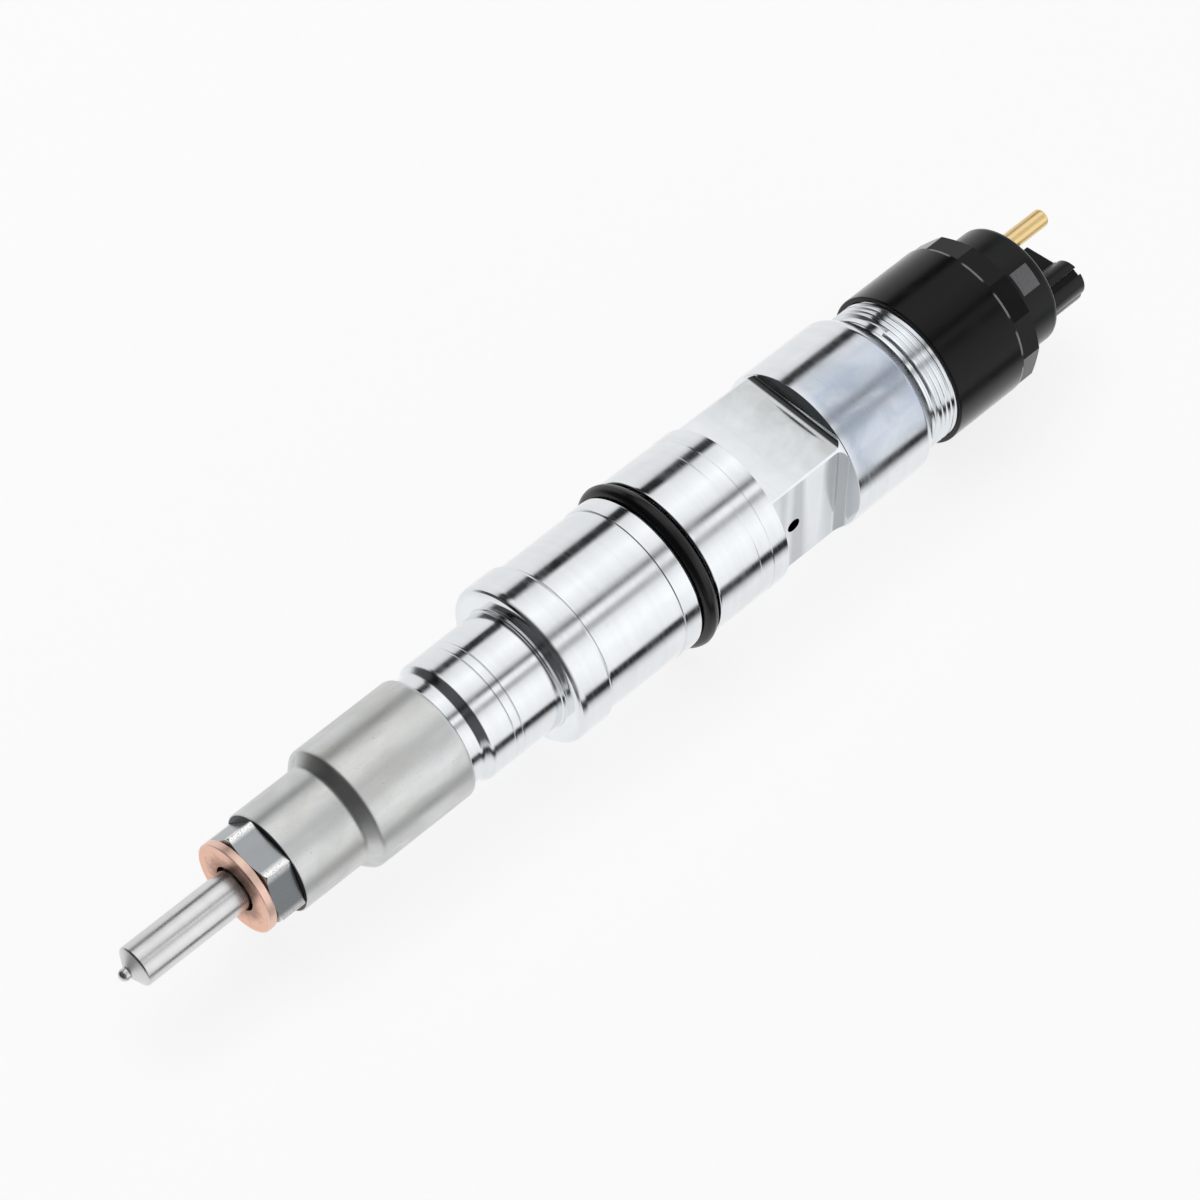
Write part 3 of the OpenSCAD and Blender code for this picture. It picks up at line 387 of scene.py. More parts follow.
class Finish:
    """A node material that is being made, read by its place on the piece in metres."""

    def __init__(self, name, base, roughness, metallic=0.0):
        self.material = bpy.data.materials.new(name)
        self.material.use_nodes = True
        self.tree = self.material.node_tree
        self.shader = self.tree.nodes["Principled BSDF"]
        self.shader.inputs["Base Color"].default_value = (*base, 1)
        self.shader.inputs["Roughness"].default_value = roughness
        self.shader.inputs["Metallic"].default_value = metallic
        self.place = self.add("ShaderNodeTexCoord").outputs["Object"]

    def add(self, kind, **values):
        node = self.tree.nodes.new(kind)
        for name, value in values.items():
            setattr(node, name, value)
        return node

    def join(self, start, end):
        self.tree.links.new(start, end)

    def grain(self, size, detail=3.0, distortion=0.0, shift=0.0):
        """Noise with lumps of that size in millimetres along X, Y and Z."""
        stretch = self.add("ShaderNodeMapping")
        stretch.inputs["Scale"].default_value = [1 / (s * MM) for s in size]
        stretch.inputs["Location"].default_value = (shift, shift, shift)
        self.join(self.place, stretch.inputs["Vector"])
        noise = self.add("ShaderNodeTexNoise")
        noise.inputs["Scale"].default_value = 1.0
        noise.inputs["Detail"].default_value = detail
        noise.inputs["Distortion"].default_value = distortion
        self.join(stretch.outputs["Vector"], noise.inputs["Vector"])
        return noise.outputs["Fac"]

    def level(self, value, low, high, to_low=0.0, to_high=1.0):
        """Maps a value from one range to another, held at its ends."""
        node = self.add("ShaderNodeMapRange")
        self.join(value, node.inputs["Value"])
        for name, number in (
            ("From Min", low), ("From Max", high), ("To Min", to_low), ("To Max", to_high)
        ):
            node.inputs[name].default_value = number
        return node.outputs["Result"]

    def maths(self, operation, a, b=None):
        node = self.add("ShaderNodeMath", operation=operation)
        for socket, value in zip(node.inputs, (a, b)):
            if isinstance(value, (int, float)):
                socket.default_value = value
            elif value is not None:
                self.join(value, socket)
        return node.outputs["Value"]

    def times(self, *factors):
        """Product of two or more values."""
        product = factors[0]
        for factor in factors[1:]:
            product = self.maths("MULTIPLY", product, factor)
        return product

    def mix(self, factor, a, b):
        """Mixes two colours, each a plain colour or a node's output."""
        node = self.add("ShaderNodeMix", data_type="RGBA")
        self.join(factor, node.inputs[0])
        for socket, value in ((node.inputs[6], a), (node.inputs[7], b)):
            if isinstance(value, bpy.types.NodeSocket):
                self.join(value, socket)
            else:
                socket.default_value = (*value, 1)
        return node.outputs[2]

    def axes(self):
        node = self.add("ShaderNodeSeparateXYZ")
        self.join(self.place, node.inputs[0])
        return node.outputs

    def radius(self):
        """Distance from the injector's axis, in metres."""
        flat = self.add("ShaderNodeVectorMath", operation="MULTIPLY")
        flat.inputs[1].default_value = (0, 1, 1)
        self.join(self.place, flat.inputs[0])
        size = self.add("ShaderNodeVectorMath", operation="LENGTH")
        self.join(flat.outputs[0], size.inputs[0])
        return size.outputs["Value"]

    def band(self, value, low, high, blur, unit=MM):
        """1 between two places and 0 outside them, with soft edges."""
        rise = self.level(value, (low - blur) * unit, (low + blur) * unit)
        fall = self.level(value, (high - blur) * unit, (high + blur) * unit, 1.0, 0.0)
        return self.times(rise, fall)

    def sheen(self, ior):
        """Weak mirror reflection, with a soft pale sheen at grazing angles."""
        self.shader.inputs["IOR"].default_value = ior
        self.shader.inputs["Sheen Weight"].default_value = 1.0
        self.shader.inputs["Sheen Roughness"].default_value = 0.3

    def colour(self, output):
        self.join(output, self.shader.inputs["Base Color"])

    def roughness(self, output):
        self.join(output, self.shader.inputs["Roughness"])

    def bumps(self, *layers):
        """Bump from layers of (height, strength, depth in millimetres), one on the other."""
        normal = None
        for height, strength, depth in layers:
            node = self.add("ShaderNodeBump")
            node.inputs["Strength"].default_value = strength
            node.inputs["Distance"].default_value = depth * MM
            self.join(height, node.inputs["Height"])
            if normal is not None:
                self.join(normal, node.inputs["Normal"])
            normal = node.outputs["Normal"]
        self.join(normal, self.shader.inputs["Normal"])


def darker(base, share):
    return tuple(share * c for c in base)


def turned_steel(name, base, roughness, line=0.16, lines=0.3, dull=None):
    """Turned steel: fine rings round the axis, faint cloudy stains and small handling marks.

    Dull is a place along the axis in millimetres, from and to, that is etched a little darker.
    """
    steel = Finish(name, base, roughness, 1.0)
    rings = steel.grain((line, 60, 60), detail=5)
    bands = steel.grain((1.7, 90, 90), detail=3, shift=3)
    clouds = steel.grain((9, 6, 6), detail=4, distortion=0.6)
    specks = steel.grain((0.35, 0.35, 0.35), detail=2, shift=7)
    marks = steel.level(specks, 0.68, 0.76)
    shade = steel.mix(steel.level(clouds, 0.3, 0.75), base, darker(base, 0.94))
    shade = steel.mix(steel.level(bands, 0.35, 0.7, 0, 0.35), shade, darker(base, 0.84))
    shade = steel.mix(steel.times(marks, 0.3), shade, darker(base, 0.6))
    rough = steel.level(clouds, 0.3, 0.75, roughness - 0.05, roughness + 0.07)
    if dull:
        x, y, z = steel.axes()
        angle = steel.maths("ARCTAN2", z, y)
        etched = steel.times(
            steel.band(angle, math.radians(86), math.radians(160), 0.25, unit=1),
            steel.band(x, *dull, 1.2),
            steel.level(clouds, 0.25, 0.6, 0.55, 1.0),
        )
        shade = steel.mix(etched, shade, (base[0] * 0.52, base[1] * 0.57, base[2] * 0.66))
        rough = steel.maths("ADD", rough, steel.times(etched, 0.14))
    steel.colour(shade)
    steel.roughness(steel.maths("ADD", rough, steel.level(rings, 0.3, 0.7, -0.05, 0.05)))
    steel.bumps((rings, lines, 0.006), (bands, lines, 0.02))
    return steel


def nozzle_steel():
    """Ground steel of the nozzle."""
    base = colours().ground_steel
    return turned_steel("nozzle_steel", base, 0.28, line=0.12, lines=0.2).material


def nut_steel():
    """Satin steel of the nozzle nut, bright and worn on the hexagon's corners, with painted shade on
    the wall at the hexagon's end.
    """
    base = tuple(colours().nut_steel)
    steel = Finish("nut_steel", base, 0.4, 1.0)
    streaks = steel.grain((14, 1.6, 1.6), detail=4, distortion=0.4)
    rings = steel.grain((0.2, 60, 60), detail=4)
    clouds = steel.grain((7, 5, 5), detail=4, distortion=0.8, shift=5)
    specks = steel.grain((0.3, 0.3, 0.3), detail=2, shift=2)
    x = steel.axes()["X"]
    warm = (base[0], base[1] * 0.98, base[2] * 0.93)
    shade = steel.mix(steel.level(streaks, 0.35, 0.7), darker(base, 1.12), darker(warm, 1.06))
    shade = steel.mix(steel.level(clouds, 0.35, 0.75, 0, 0.4), shade, darker(base, 0.84))
    on_hex = steel.level(x, 6.6 * MM, 6.75 * MM, 1.0, 0.0)
    radius = steel.radius()
    worn = steel.times(
        on_hex, steel.level(radius, 8.05 * MM, 8.4 * MM), steel.level(specks, 0.3, 0.55, 0.5, 1.0)
    )
    shade = steel.mix(steel.times(on_hex, 0.9), shade, (0.30, 0.32, 0.34))
    shade = steel.mix(worn, shade, (0.98, 0.98, 0.97))
    # Painted shade: the wall at the hexagon's end, and the last of its flats, are coloured near black.
    wall = steel.band(x, 6.62, 6.86, 0.03)
    wall = steel.times(wall, steel.level(radius, 8.85 * MM, 8.7 * MM))
    shade = steel.mix(wall, shade, (0.012, 0.012, 0.014))
    dings = steel.level(specks, 0.66, 0.74)
    steel.colour(steel.mix(steel.times(dings, 0.4), shade, darker(base, 0.4)))
    rough = steel.level(clouds, 0.3, 0.7, 0.33, 0.42)
    steel.roughness(steel.maths("SUBTRACT", rough, steel.times(on_hex, 0.1)))
    steel.bumps((rings, 0.25, 0.006), (streaks, 0.2, 0.02), (specks, 0.15, 0.01))
    return steel.material


def body_steel():
    """Bright turned steel of the body, with grey painted reflections on its clamp flats, and painted
    shade on the side flat's fillet and in the dark leak hole.
    """
    steel = turned_steel(
        "body_steel", colours().bright_steel, 0.13, line=0.16, lines=0.35, dull=(120.4, 138.0)
    )
    s = sizes()
    shade = steel.shader.inputs["Base Color"].links[0].from_socket
    x, y, z = steel.axes()
    clouds = steel.grain((5, 4, 4), detail=3, distortion=0.8, shift=8)
    streaks = steel.grain((4.2, 60, 60), detail=1, shift=11)
    face = s.flats_af / 2
    flats = steel.times(
        steel.band(x, s.flats_x + 0.1, s.flats_end, 0.1),
        steel.level(steel.radius(), (s.body_r - 0.2) * MM, (s.body_r - 0.3) * MM),
    )
    # Painted reflection: the top clamp flat fades to grey along the axis, broken up by clouds.
    top = steel.times(
        flats, steel.level(z, (face - 0.2) * MM, (face - 0.1) * MM),
        steel.level(x, (s.flats_x + 3) * MM, (s.flats_end - 2) * MM, 0.0, 0.62),
        steel.level(clouds, 0.3, 0.6, 0.55, 1.0),
    )
    shade = steel.mix(top, shade, (0.40, 0.43, 0.42))
    # Painted reflection and painted shade on the side clamp flat: grey bands across it, and a darker
    # crescent on its fillet at the far end.
    fillet = steel.level(x, (s.flats_end - 1.7) * MM, (s.flats_end - 1.3) * MM, 0.0, 0.85)
    lines = steel.maths("MAXIMUM", steel.level(streaks, 0.44, 0.62, 0.0, 0.55), fillet)
    side = steel.times(flats, steel.level(y, (0.2 - face) * MM, (0.1 - face) * MM), lines)
    shade = steel.mix(side, shade, (0.36, 0.38, 0.40))
    # Painted shade: the walls of the leak hole are coloured near black.
    around = s.leak_r + 0.1
    leak_hole_shade = steel.times(
        steel.level(y, (0.04 - face) * MM, (0.2 - face) * MM),
        steel.level(y, (2.0 - face) * MM, (1.8 - face) * MM),
        steel.band(x, s.leak_x - around, s.leak_x + around, 0.02),
        steel.band(z, -around, around, 0.02),
    )
    steel.colour(steel.mix(leak_hole_shade, shade, (0.02, 0.02, 0.022)))
    return steel.material


def copper():
    """Annealed copper of the washer, tarnished brown round its bore, with a painted highlight at its
    rim.
    """
    base = tuple(colours().copper)
    metal = Finish("copper", base, 0.34, 1.0)
    radius = metal.radius()
    clouds = metal.grain((3, 2.2, 2.2), detail=5, distortion=1.2)
    rings = metal.grain((30, 0.25, 0.25), detail=3)
    specks = metal.grain((0.4, 0.3, 0.3), detail=3, shift=4)
    edge = metal.maths("ADD", radius, metal.level(clouds, 0.3, 0.7, -0.9 * MM, 0.9 * MM))
    tarnish = metal.level(edge, 4.4 * MM, 6.6 * MM, 0.95, 0.0)
    shade = metal.mix(metal.level(clouds, 0.35, 0.7), base, (0.90, 0.57, 0.44))
    shade = metal.mix(tarnish, shade, (0.33, 0.17, 0.11))
    # Painted highlight: a pale band round the washer's outer rim.
    shade = metal.mix(metal.level(radius, 7.75 * MM, 7.95 * MM, 0, 0.6), shade, (0.95, 0.72, 0.62))
    metal.colour(metal.mix(metal.level(specks, 0.62, 0.75, 0, 0.4), shade, (0.30, 0.15, 0.10)))
    metal.roughness(metal.level(clouds, 0.3, 0.7, 0.28, 0.45))
    metal.bumps((rings, 0.2, 0.01), (specks, 0.3, 0.012))
    return metal.material


def seal_rubber():
    """Black rubber: smooth and glossy, with dust and a faint moulding grain."""
    base = tuple(colours().rubber)
    seal = Finish("seal_rubber", base, 0.24)
    dust = seal.grain((0.35, 0.35, 0.35), detail=4, shift=1)
    clouds = seal.grain((5, 5, 5), detail=3)
    seal.colour(seal.mix(seal.level(dust, 0.62, 0.8, 0, 0.35), base, (0.02, 0.02, 0.021)))
    seal.roughness(seal.level(clouds, 0.3, 0.7, 0.2, 0.34))
    seal.bumps((dust, 0.12, 0.01), (clouds, 0.1, 0.05))
    seal.shader.inputs["IOR"].default_value = 1.42
    return seal.material


def black_nut():
    """Black coat of the solenoid nut, with a thin painted highlight where its flats meet the shoulder.
    """
    base = tuple(colours().black_nut)
    coat = Finish("black_nut", base, 0.2)
    grain = coat.grain((0.25, 0.25, 0.25), detail=4)
    clouds = coat.grain((6, 4, 4), detail=4, distortion=0.5, shift=3)
    rings = coat.grain((0.22, 50, 50), detail=3)
    shade = coat.mix(coat.level(clouds, 0.35, 0.7), base, (0.0040, 0.0034, 0.0048))
    dust = coat.level(grain, 0.66, 0.8, 0, 0.5)
    shade = coat.mix(dust, shade, (0.012, 0.012, 0.013))
    s = sizes()
    x, y, z = coat.axes()
    # Painted highlight: thin pale lines on the shoulder beside each of the twelve flats.
    corners = coat.maths("SUBTRACT", coat.maths("ARCTAN2", z, y), s.cap_turn - math.pi / 2)
    shoulder_highlight = coat.level(coat.maths("COSINE", coat.times(corners, 12.0)), 0.6, 0.1)
    line = coat.band(x, s.cap_flats_x - 0.38, s.cap_flats_x, 0.04)
    coat.colour(coat.mix(coat.times(shoulder_highlight, line), shade, (0.24, 0.23, 0.26)))
    coat.roughness(coat.level(clouds, 0.3, 0.7, 0.16, 0.26))
    coat.bumps((rings, 0.2, 0.006), (grain, 0.12, 0.01))
    coat.sheen(1.27)
    return coat.material


def head_plastic():
    """Black moulded plastic of the head, with a plain grey square printed on its side."""
    base = tuple(colours().plastic)
    s = sizes()
    plastic = Finish("head_plastic", base, 0.3)
    grain = plastic.grain((0.18, 0.18, 0.18), detail=3)
    clouds = plastic.grain((5, 4, 4), detail=4, shift=6)
    fibres = plastic.grain((0.9, 0.25, 0.25), detail=3, shift=2)
    shade = plastic.mix(plastic.level(clouds, 0.3, 0.7), base, darker(base, 1.5))
    shade = plastic.mix(plastic.level(fibres, 0.62, 0.8, 0, 0.3), shade, (0.022, 0.023, 0.026))
    x, y, z = plastic.axes()
    turned_by = plastic.maths("SUBTRACT", plastic.maths("ARCTAN2", z, y), math.radians(124.0))
    square = plastic.times(
        plastic.band(x, 165.4, 169.2, 0.04),
        plastic.band(plastic.times(turned_by, s.head_r * MM), -2.15, 2.15, 0.04),
        plastic.level(plastic.radius(), 10.6 * MM, 10.7 * MM),
    )
    ink = plastic.mix(plastic.level(grain, 0.35, 0.65), tuple(colours().patch), (0.13, 0.13, 0.135))
    plastic.colour(plastic.mix(square, shade, ink))
    plastic.roughness(plastic.level(clouds, 0.3, 0.7, 0.26, 0.36))
    plastic.bumps((grain, 0.25, 0.01), (fibres, 0.1, 0.02))
    plastic.sheen(1.3)
    return plastic.material


def terminal_gold():
    """Thin gold plating, with fine rings from its turning and soft rubbed marks."""
    base = tuple(colours().gold)
    gold = Finish("terminal_gold", base, 0.32, 1.0)
    rings = gold.grain((0.18, 40, 40), detail=4)
    clouds = gold.grain((2.5, 1.5, 1.5), detail=4, shift=2)
    gold.colour(gold.mix(gold.level(clouds, 0.3, 0.7), base, (0.93, 0.72, 0.40)))
    gold.roughness(gold.level(clouds, 0.3, 0.7, 0.28, 0.38))
    gold.bumps((rings, 0.2, 0.005))
    return gold.material


def speckled(name, base, other, gloss, size, fade, rough, bump, metallic=0.0):
    """Plain finish: a fine grain mixes two colours and varies the roughness and the height."""
    made = Finish(name, base, gloss, metallic)
    grain = made.grain(size, detail=3)
    made.colour(made.mix(made.level(grain, *fade), base, other))
    made.roughness(made.level(grain, 0.3, 0.7, *rough))
    made.bumps((grain, *bump))
    return made.material


def seal_polymer():
    """Brown sliding polymer of the valve piece's seal."""
    return speckled(
        "seal_polymer", (0.30, 0.16, 0.07), (0.20, 0.10, 0.05), 0.4, (0.3, 0.3, 0.3),
        fade=(0.4, 0.7), rough=(0.35, 0.5), bump=(0.15, 0.01),
    )


def backup_polymer():
    """Ivory polymer of the seal's backup ring."""
    return speckled(
        "backup_polymer", (0.76, 0.70, 0.56), (0.66, 0.60, 0.46), 0.45, (0.4, 0.4, 0.4),
        fade=(0.4, 0.7), rough=(0.38, 0.55), bump=(0.15, 0.01),
    )


def magnet_iron():
    """Pressed magnetic powder, dark and slightly grainy."""
    return speckled(
        "magnet_iron", (0.17, 0.17, 0.18), (0.28, 0.28, 0.29), 0.48, (0.12, 0.12, 0.12),
        fade=(0.35, 0.65), rough=(0.42, 0.6), bump=(0.35, 0.02), metallic=1.0,
    )


def bobbin_plastic():
    """Brown glass-filled plastic of the bobbin."""
    return speckled(
        "bobbin_plastic", (0.18, 0.085, 0.04), (0.28, 0.16, 0.09), 0.42, (0.8, 0.2, 0.2),
        fade=(0.5, 0.75), rough=(0.36, 0.5), bump=(0.2, 0.01),
    )


def hardened_steel():
    """Ground and lapped steel of the needle, plunger and valve pieces."""
    return turned_steel("hardened_steel", (0.62, 0.62, 0.64), 0.16, line=0.08, lines=0.12).material


def spring_steel():
    """Dark oiled spring wire."""
    base = (0.30, 0.29, 0.28)
    wire = Finish("spring_steel", base, 0.3, 1.0)
    drawn = wire.grain((0.5, 0.12, 0.12), detail=4)
    clouds = wire.grain((2, 2, 2), detail=3)
    wire.colour(wire.mix(wire.level(clouds, 0.3, 0.7), base, (0.40, 0.36, 0.31)))
    wire.roughness(wire.level(drawn, 0.3, 0.7, 0.24, 0.4))
    wire.bumps((drawn, 0.2, 0.01))
    return wire.material


def winding():
    """Lacquered copper wire, as fine rings of wire side by side."""
    base = (0.62, 0.24, 0.09)
    wire = Finish("winding", base, 0.26, 1.0)
    strands = wire.maths("SINE", wire.times(wire.axes()["X"], math.tau / (0.42 * MM)))
    clouds = wire.grain((3, 2, 2), detail=3)
    wire.colour(wire.mix(wire.level(strands, -0.9, 0.2), (0.22, 0.07, 0.03), base))
    wire.roughness(wire.level(clouds, 0.3, 0.7, 0.2, 0.34))
    wire.bumps((strands, 0.8, 0.08))
    return wire.material


FINISHES = {
    make.__name__: make
    for make in (
        nozzle_steel, nut_steel, body_steel, copper, seal_rubber, seal_polymer, backup_polymer,
        hardened_steel, spring_steel, magnet_iron, winding, bobbin_plastic, terminal_gold,
        head_plastic, black_nut,
    )
}
MADE = {}


def finish(slot):
    """The finish of a material slot, made when it is first needed."""
    if slot not in MADE:
        MADE[slot] = FINISHES[slot]()
    return MADE[slot]


# ---------------------------------------------------------------- pieces

LOBE_OUT, LOBE_R = 1.9, 3.3  # the tower's lobe: its place beside the collar, and its radius
PIN_FOOT_R = 1.1  # radius of a terminal inside the head


class INJECTOR_OT_inner_pieces(bpy.types.Operator):
    """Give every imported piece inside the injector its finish"""

    bl_idname = "injector.inner_pieces"
    bl_label = "Finish Inner Pieces"

    def execute(self, context):
        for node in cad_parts.values():
            for place in node.material_slots:
                place.material = finish(place.material.name.split(".")[0])
        return {"FINISHED"}


class INJECTOR_OT_nozzle(bpy.types.Operator):
    """Add the nozzle: a ground shank with a conical nose, a rounded tip and spray holes"""

    bl_idname = "injector.nozzle"
    bl_label = "Add Nozzle"

    def execute(self, context):
        s = sizes()
        tip, end, collar_r = TIP_X, NOZZLE_END, COLLAR_R
        collar = 5.0
        nose_x, nose_r = -s.shank_x - 0.2, s.shank_r - 0.2
        root_r = s.sac_r + 0.08
        root_x = nose_x - (nose_r - root_r) * 0.568
        dome = [
            (tip + s.sac_r * (1 - math.cos(a)), s.sac_r * math.sin(a))
            for a in (math.radians(10 * i) for i in range(10))
        ]
        outline = dome + soften([
            (root_x - 0.25, s.sac_r), (root_x, root_r, 0.08), (nose_x, nose_r, 0.12),
            (-s.shank_x, s.shank_r, 0.12), (0, s.shank_r, 0.05), (0.3, s.shank_r - 0.3, 0.05),
            (collar, s.shank_r - 0.3), (collar, collar_r, 0.4), (end, collar_r, 0.4),
            (end, 2.0), (12.8, 2.0), (11.2, 3.3), (8.8, 3.3), (8.0, 2.05), (-17.6, 2.05),
            (-20.37, 0.45), (tip + 0.75, 0.45), (tip + 0.55, 0),
        ])
        nozzle = turned("nozzle", outline, 96, closed=False)
        for i in range(8):
            way = Vector((-0.26, 0, 1.0))
            way.rotate(Matrix.Rotation(math.tau * i / 8, 3, "X"))
            boolean(nozzle, drill((tip + 1.05, 0, 0), way, 2 * s.sac_r, s.spray_r, steps=12))
        finish_piece(nozzle, "nozzle_steel", "nozzle_body")
        return {"FINISHED"}


class INJECTOR_OT_washer(bpy.types.Operator):
    """Add the copper washer that seals in the cylinder head"""

    bl_idname = "injector.washer"
    bl_label = "Add Sealing Washer"

    def execute(self, context):
        start, end, outer = WASHER_START, WASHER_END, WASHER_R
        bore, dish = 4.0, 0.06
        outline = soften([
            (0.5 * (start + end), bore), (start + 0.1, bore, 0.15), (start + dish, bore + 0.3, 0.1),
            (start + dish, outer - 1.0, 0.2), (start, outer - 0.6, 0.2), (start, outer, 0.35),
            (end, outer, 0.35), (end, bore, 0.2), (0.5 * (start + end) + 0.1, bore),
        ])
        washer = turned("washer", outline, 120)
        finish_piece(washer, "copper", "sealing_washer")
        return {"FINISHED"}


class INJECTOR_OT_nozzle_nut(bpy.types.Operator):
    """Add the nozzle nut: a hexagon, a thin and a thick barrel and the cone between them"""

    bl_idname = "injector.nozzle_nut"
    bl_label = "Add Nozzle Nut"

    def execute(self, context):
        s = sizes()
        start, end, outer = NUT_START, NUT_END, NUT_R
        bore = s.shank_r + 0.25
        outline = soften([
            (3.0, bore), (start, bore, 0.2), (start, s.hex_af / 2 - 0.2, 0.1),
            (start + 0.6, s.hex_r, 0.25), (s.hex_end, s.hex_r), (s.hex_end, s.nut_small_r, 0.3),
            (s.nut_cone_x, s.nut_small_r, 0.5), (s.nut_large_x, outer, 0.5), (end, outer, 1.5),
            (end, 9.05, 0.15), (38.45, 9.05),
        ] + ring_thread(25.4, 38.4, 9.01, 0.6)[::-1] + [
            (25.4, 8.2), (20.6, 8.2), (19.8, 7.2), (5.0, 7.2), (5.0, bore),
        ])
        nut = turned("nut", outline, s.rings)
        boolean(nut, flats_cutter(start - 1, s.hex_end, s.hex_af, 6, s.hex_turn))
        finish_piece(nut, "nut_steel", "nozzle_nut")
        return {"FINISHED"}


class INJECTOR_OT_body(bpy.types.Operator):
    """Add the turned body with its flange, seal groove, clamp flats, inlet and leak hole"""

    bl_idname = "injector.body"
    bl_label = "Add Body"

    def execute(self, context):
        s = sizes()
        end = BODY_END
        core_r = s.thread_r - 0.6
        span, mid = s.flange_x - s.shaft_x, s.flats_x - s.mid_x
        worn_r = s.body_r - 0.15
        outside = [
            (21.0, 7.6), (21.3, 7.9), (25.4, 7.9),
        ] + ring_thread(25.4, 38.4, 8.95, 0.6) + [
            (38.45, 8.25), (39.85, 8.25), (39.85, s.neck_r, 0.3), (42.2, s.neck_r, 0.4),
            (s.shaft_x, s.shaft_r, 0.4),
        ] + turned_line(s.shaft_x + 0.3 * span, s.shaft_r) + turned_line(
            s.shaft_x + 0.41 * span, s.shaft_r
        ) + [
            (s.flange_x - 0.6, s.shaft_r, 0.1), (s.flange_x - 0.45, s.shaft_r + 0.25, 0.1),
            (s.flange_x, s.shaft_r + 0.3, 0.15), (s.flange_x, s.flange_r, 1.5),
            (s.land_x, s.flange_r, 0.25), (s.land_x, s.land_r, 0.1),
        ] + turned_line(s.land_x + 0.35, s.land_r) + [
            (s.rim_x, s.land_r, 0.08), (s.rim_x, s.rim_r, 0.1), (s.groove_x, s.rim_r, 0.3),
            (s.groove_x, 12.25, 0.2), (s.mid_x, 12.25, 0.2), (s.mid_x, s.body_r, 0.35),
            (s.mid_x + 0.6 * mid, s.body_r, 0.05), (s.mid_x + 0.6 * mid + 0.1, s.body_r - 0.04, 0.05),
            (s.mid_x + 0.78 * mid, s.body_r - 0.04, 0.05),
            (s.mid_x + 0.78 * mid + 0.1, s.body_r, 0.05),
            (s.flats_x, s.body_r, 0.12), (s.flats_x, worn_r), (s.flats_end, worn_r),
            (s.flats_end, s.body_r, 0.12), (s.cone_x, s.body_r, 0.4),
            (s.cone_x + 2.3, s.thread_r + 0.15, 0.15), (s.cone_x + 2.3, core_r - 0.1, 0.15),
            (s.thread_x, core_r - 0.1), (s.thread_x + 0.1, core_r), (end, core_r, 0.2),
        ]
        inside = [
            (end, 11.6, 0.2), (end - 0.3, 11.3), (124.0, 11.3), (124.0, 9.3), (122.4, 9.3),
            (122.4, 7.1), (114.7, 7.1), (114.7, 6.4), (111.0, 6.4), (111.0, 5.0), (103.5, 5.0),
            (103.5, 5.9), (98.5, 5.9), (98.5, 4.3), (93.5, 4.3), (93.5, 2.3), (41.5, 2.3),
            (41.5, 3.6), (21.0, 3.6),
        ]
        body = turned("body", soften(outside + inside), s.rings)
        boolean(body, flats_cutter(s.flats_x, s.flats_end, s.flats_af, 4, math.pi / 4, 1.6))
        for cutter in (
            drill((s.inlet_x, 9.0, 0), (0, 1, 0), 8, s.inlet_r, steps=64),
            drill((s.inlet_x, 7.0, 0), (0, 1, 0), 2.05, 1.087, 3.4, steps=48),
            drill((s.inlet_x, 5.5, 0), (0, 1, 0), 1.8, 1.2, steps=31),
            drill((s.leak_x, -8.6, 0), (0, -1, 0), 5, s.leak_r, steps=47),
        ):
            boolean(body, cutter)
        finish_piece(body, "body_steel", "injector_body")
        thread = helix("body_thread", s.thread_x + 0.2, end - 0.2, core_r, s.thread_r, s.pitch)
        finish_piece(thread, "body_steel")
        return {"FINISHED"}


def turned_line(x, r):
    """Corners of a fine turned line."""
    return [(x, r, 0.03), (x + 0.1, r - 0.05, 0.04), (x + 0.18, r - 0.05, 0.04), (x + 0.28, r, 0.03)]


def helix(name, x0, x1, root_r, crest_r, pitch):
    """Thread ridge: its section is drawn once and screwed along the axis."""
    half, flat, foot = 0.44 * pitch, 0.07 * pitch, root_r - 0.25
    section = (
        (-half, foot), (-half, root_r), (-flat, crest_r), (flat, crest_r), (half, root_r),
        (half, foot), (-half, foot),
    )
    ridge = drawn(name, [(x0 + half + x, r) for x, r in section])
    merge_all()
    bpy.ops.object.mode_set(mode="OBJECT")
    screw = ridge.modifiers.new("Thread", "SCREW")
    screw.axis = "X"
    screw.angle = math.tau
    screw.screw_offset = pitch * MM
    screw.iterations = int((x1 - x0) / pitch)
    screw.steps = screw.render_steps = 96
    bpy.ops.object.modifier_apply(modifier=screw.name)
    edit(ridge)
    merge_all()
    bpy.ops.mesh.select_mode(type="EDGE")
    bpy.ops.mesh.select_all(action="DESELECT")
    bpy.ops.mesh.select_non_manifold()
    bpy.ops.mesh.edge_face_add()
    close_up()
    return ridge


class INJECTOR_OT_seal_ring(bpy.types.Operator):
    """Add the rubber seal ring in the body's groove, with its fine moulding line"""

    bl_idname = "injector.seal_ring"
    bl_label = "Add Seal Ring"

    def execute(self, context):
        s = sizes()
        middle = (SEAL_START + SEAL_END) / 2
        mean = SEAL_R - s.seal_section_r
        size = s.seal_section_r
        outline = []
        for i in range(48):
            a = math.tau * i / 48
            line = 0.0 if i in (12, 36) else 0.03
            outline.append((middle + (size - line) * math.cos(a), mean + (size - line) * math.sin(a)))
        ring = turned("seal_ring", outline, s.rings)
        finish_piece(ring, "seal_rubber", "body_seal_ring")
        return {"FINISHED"}


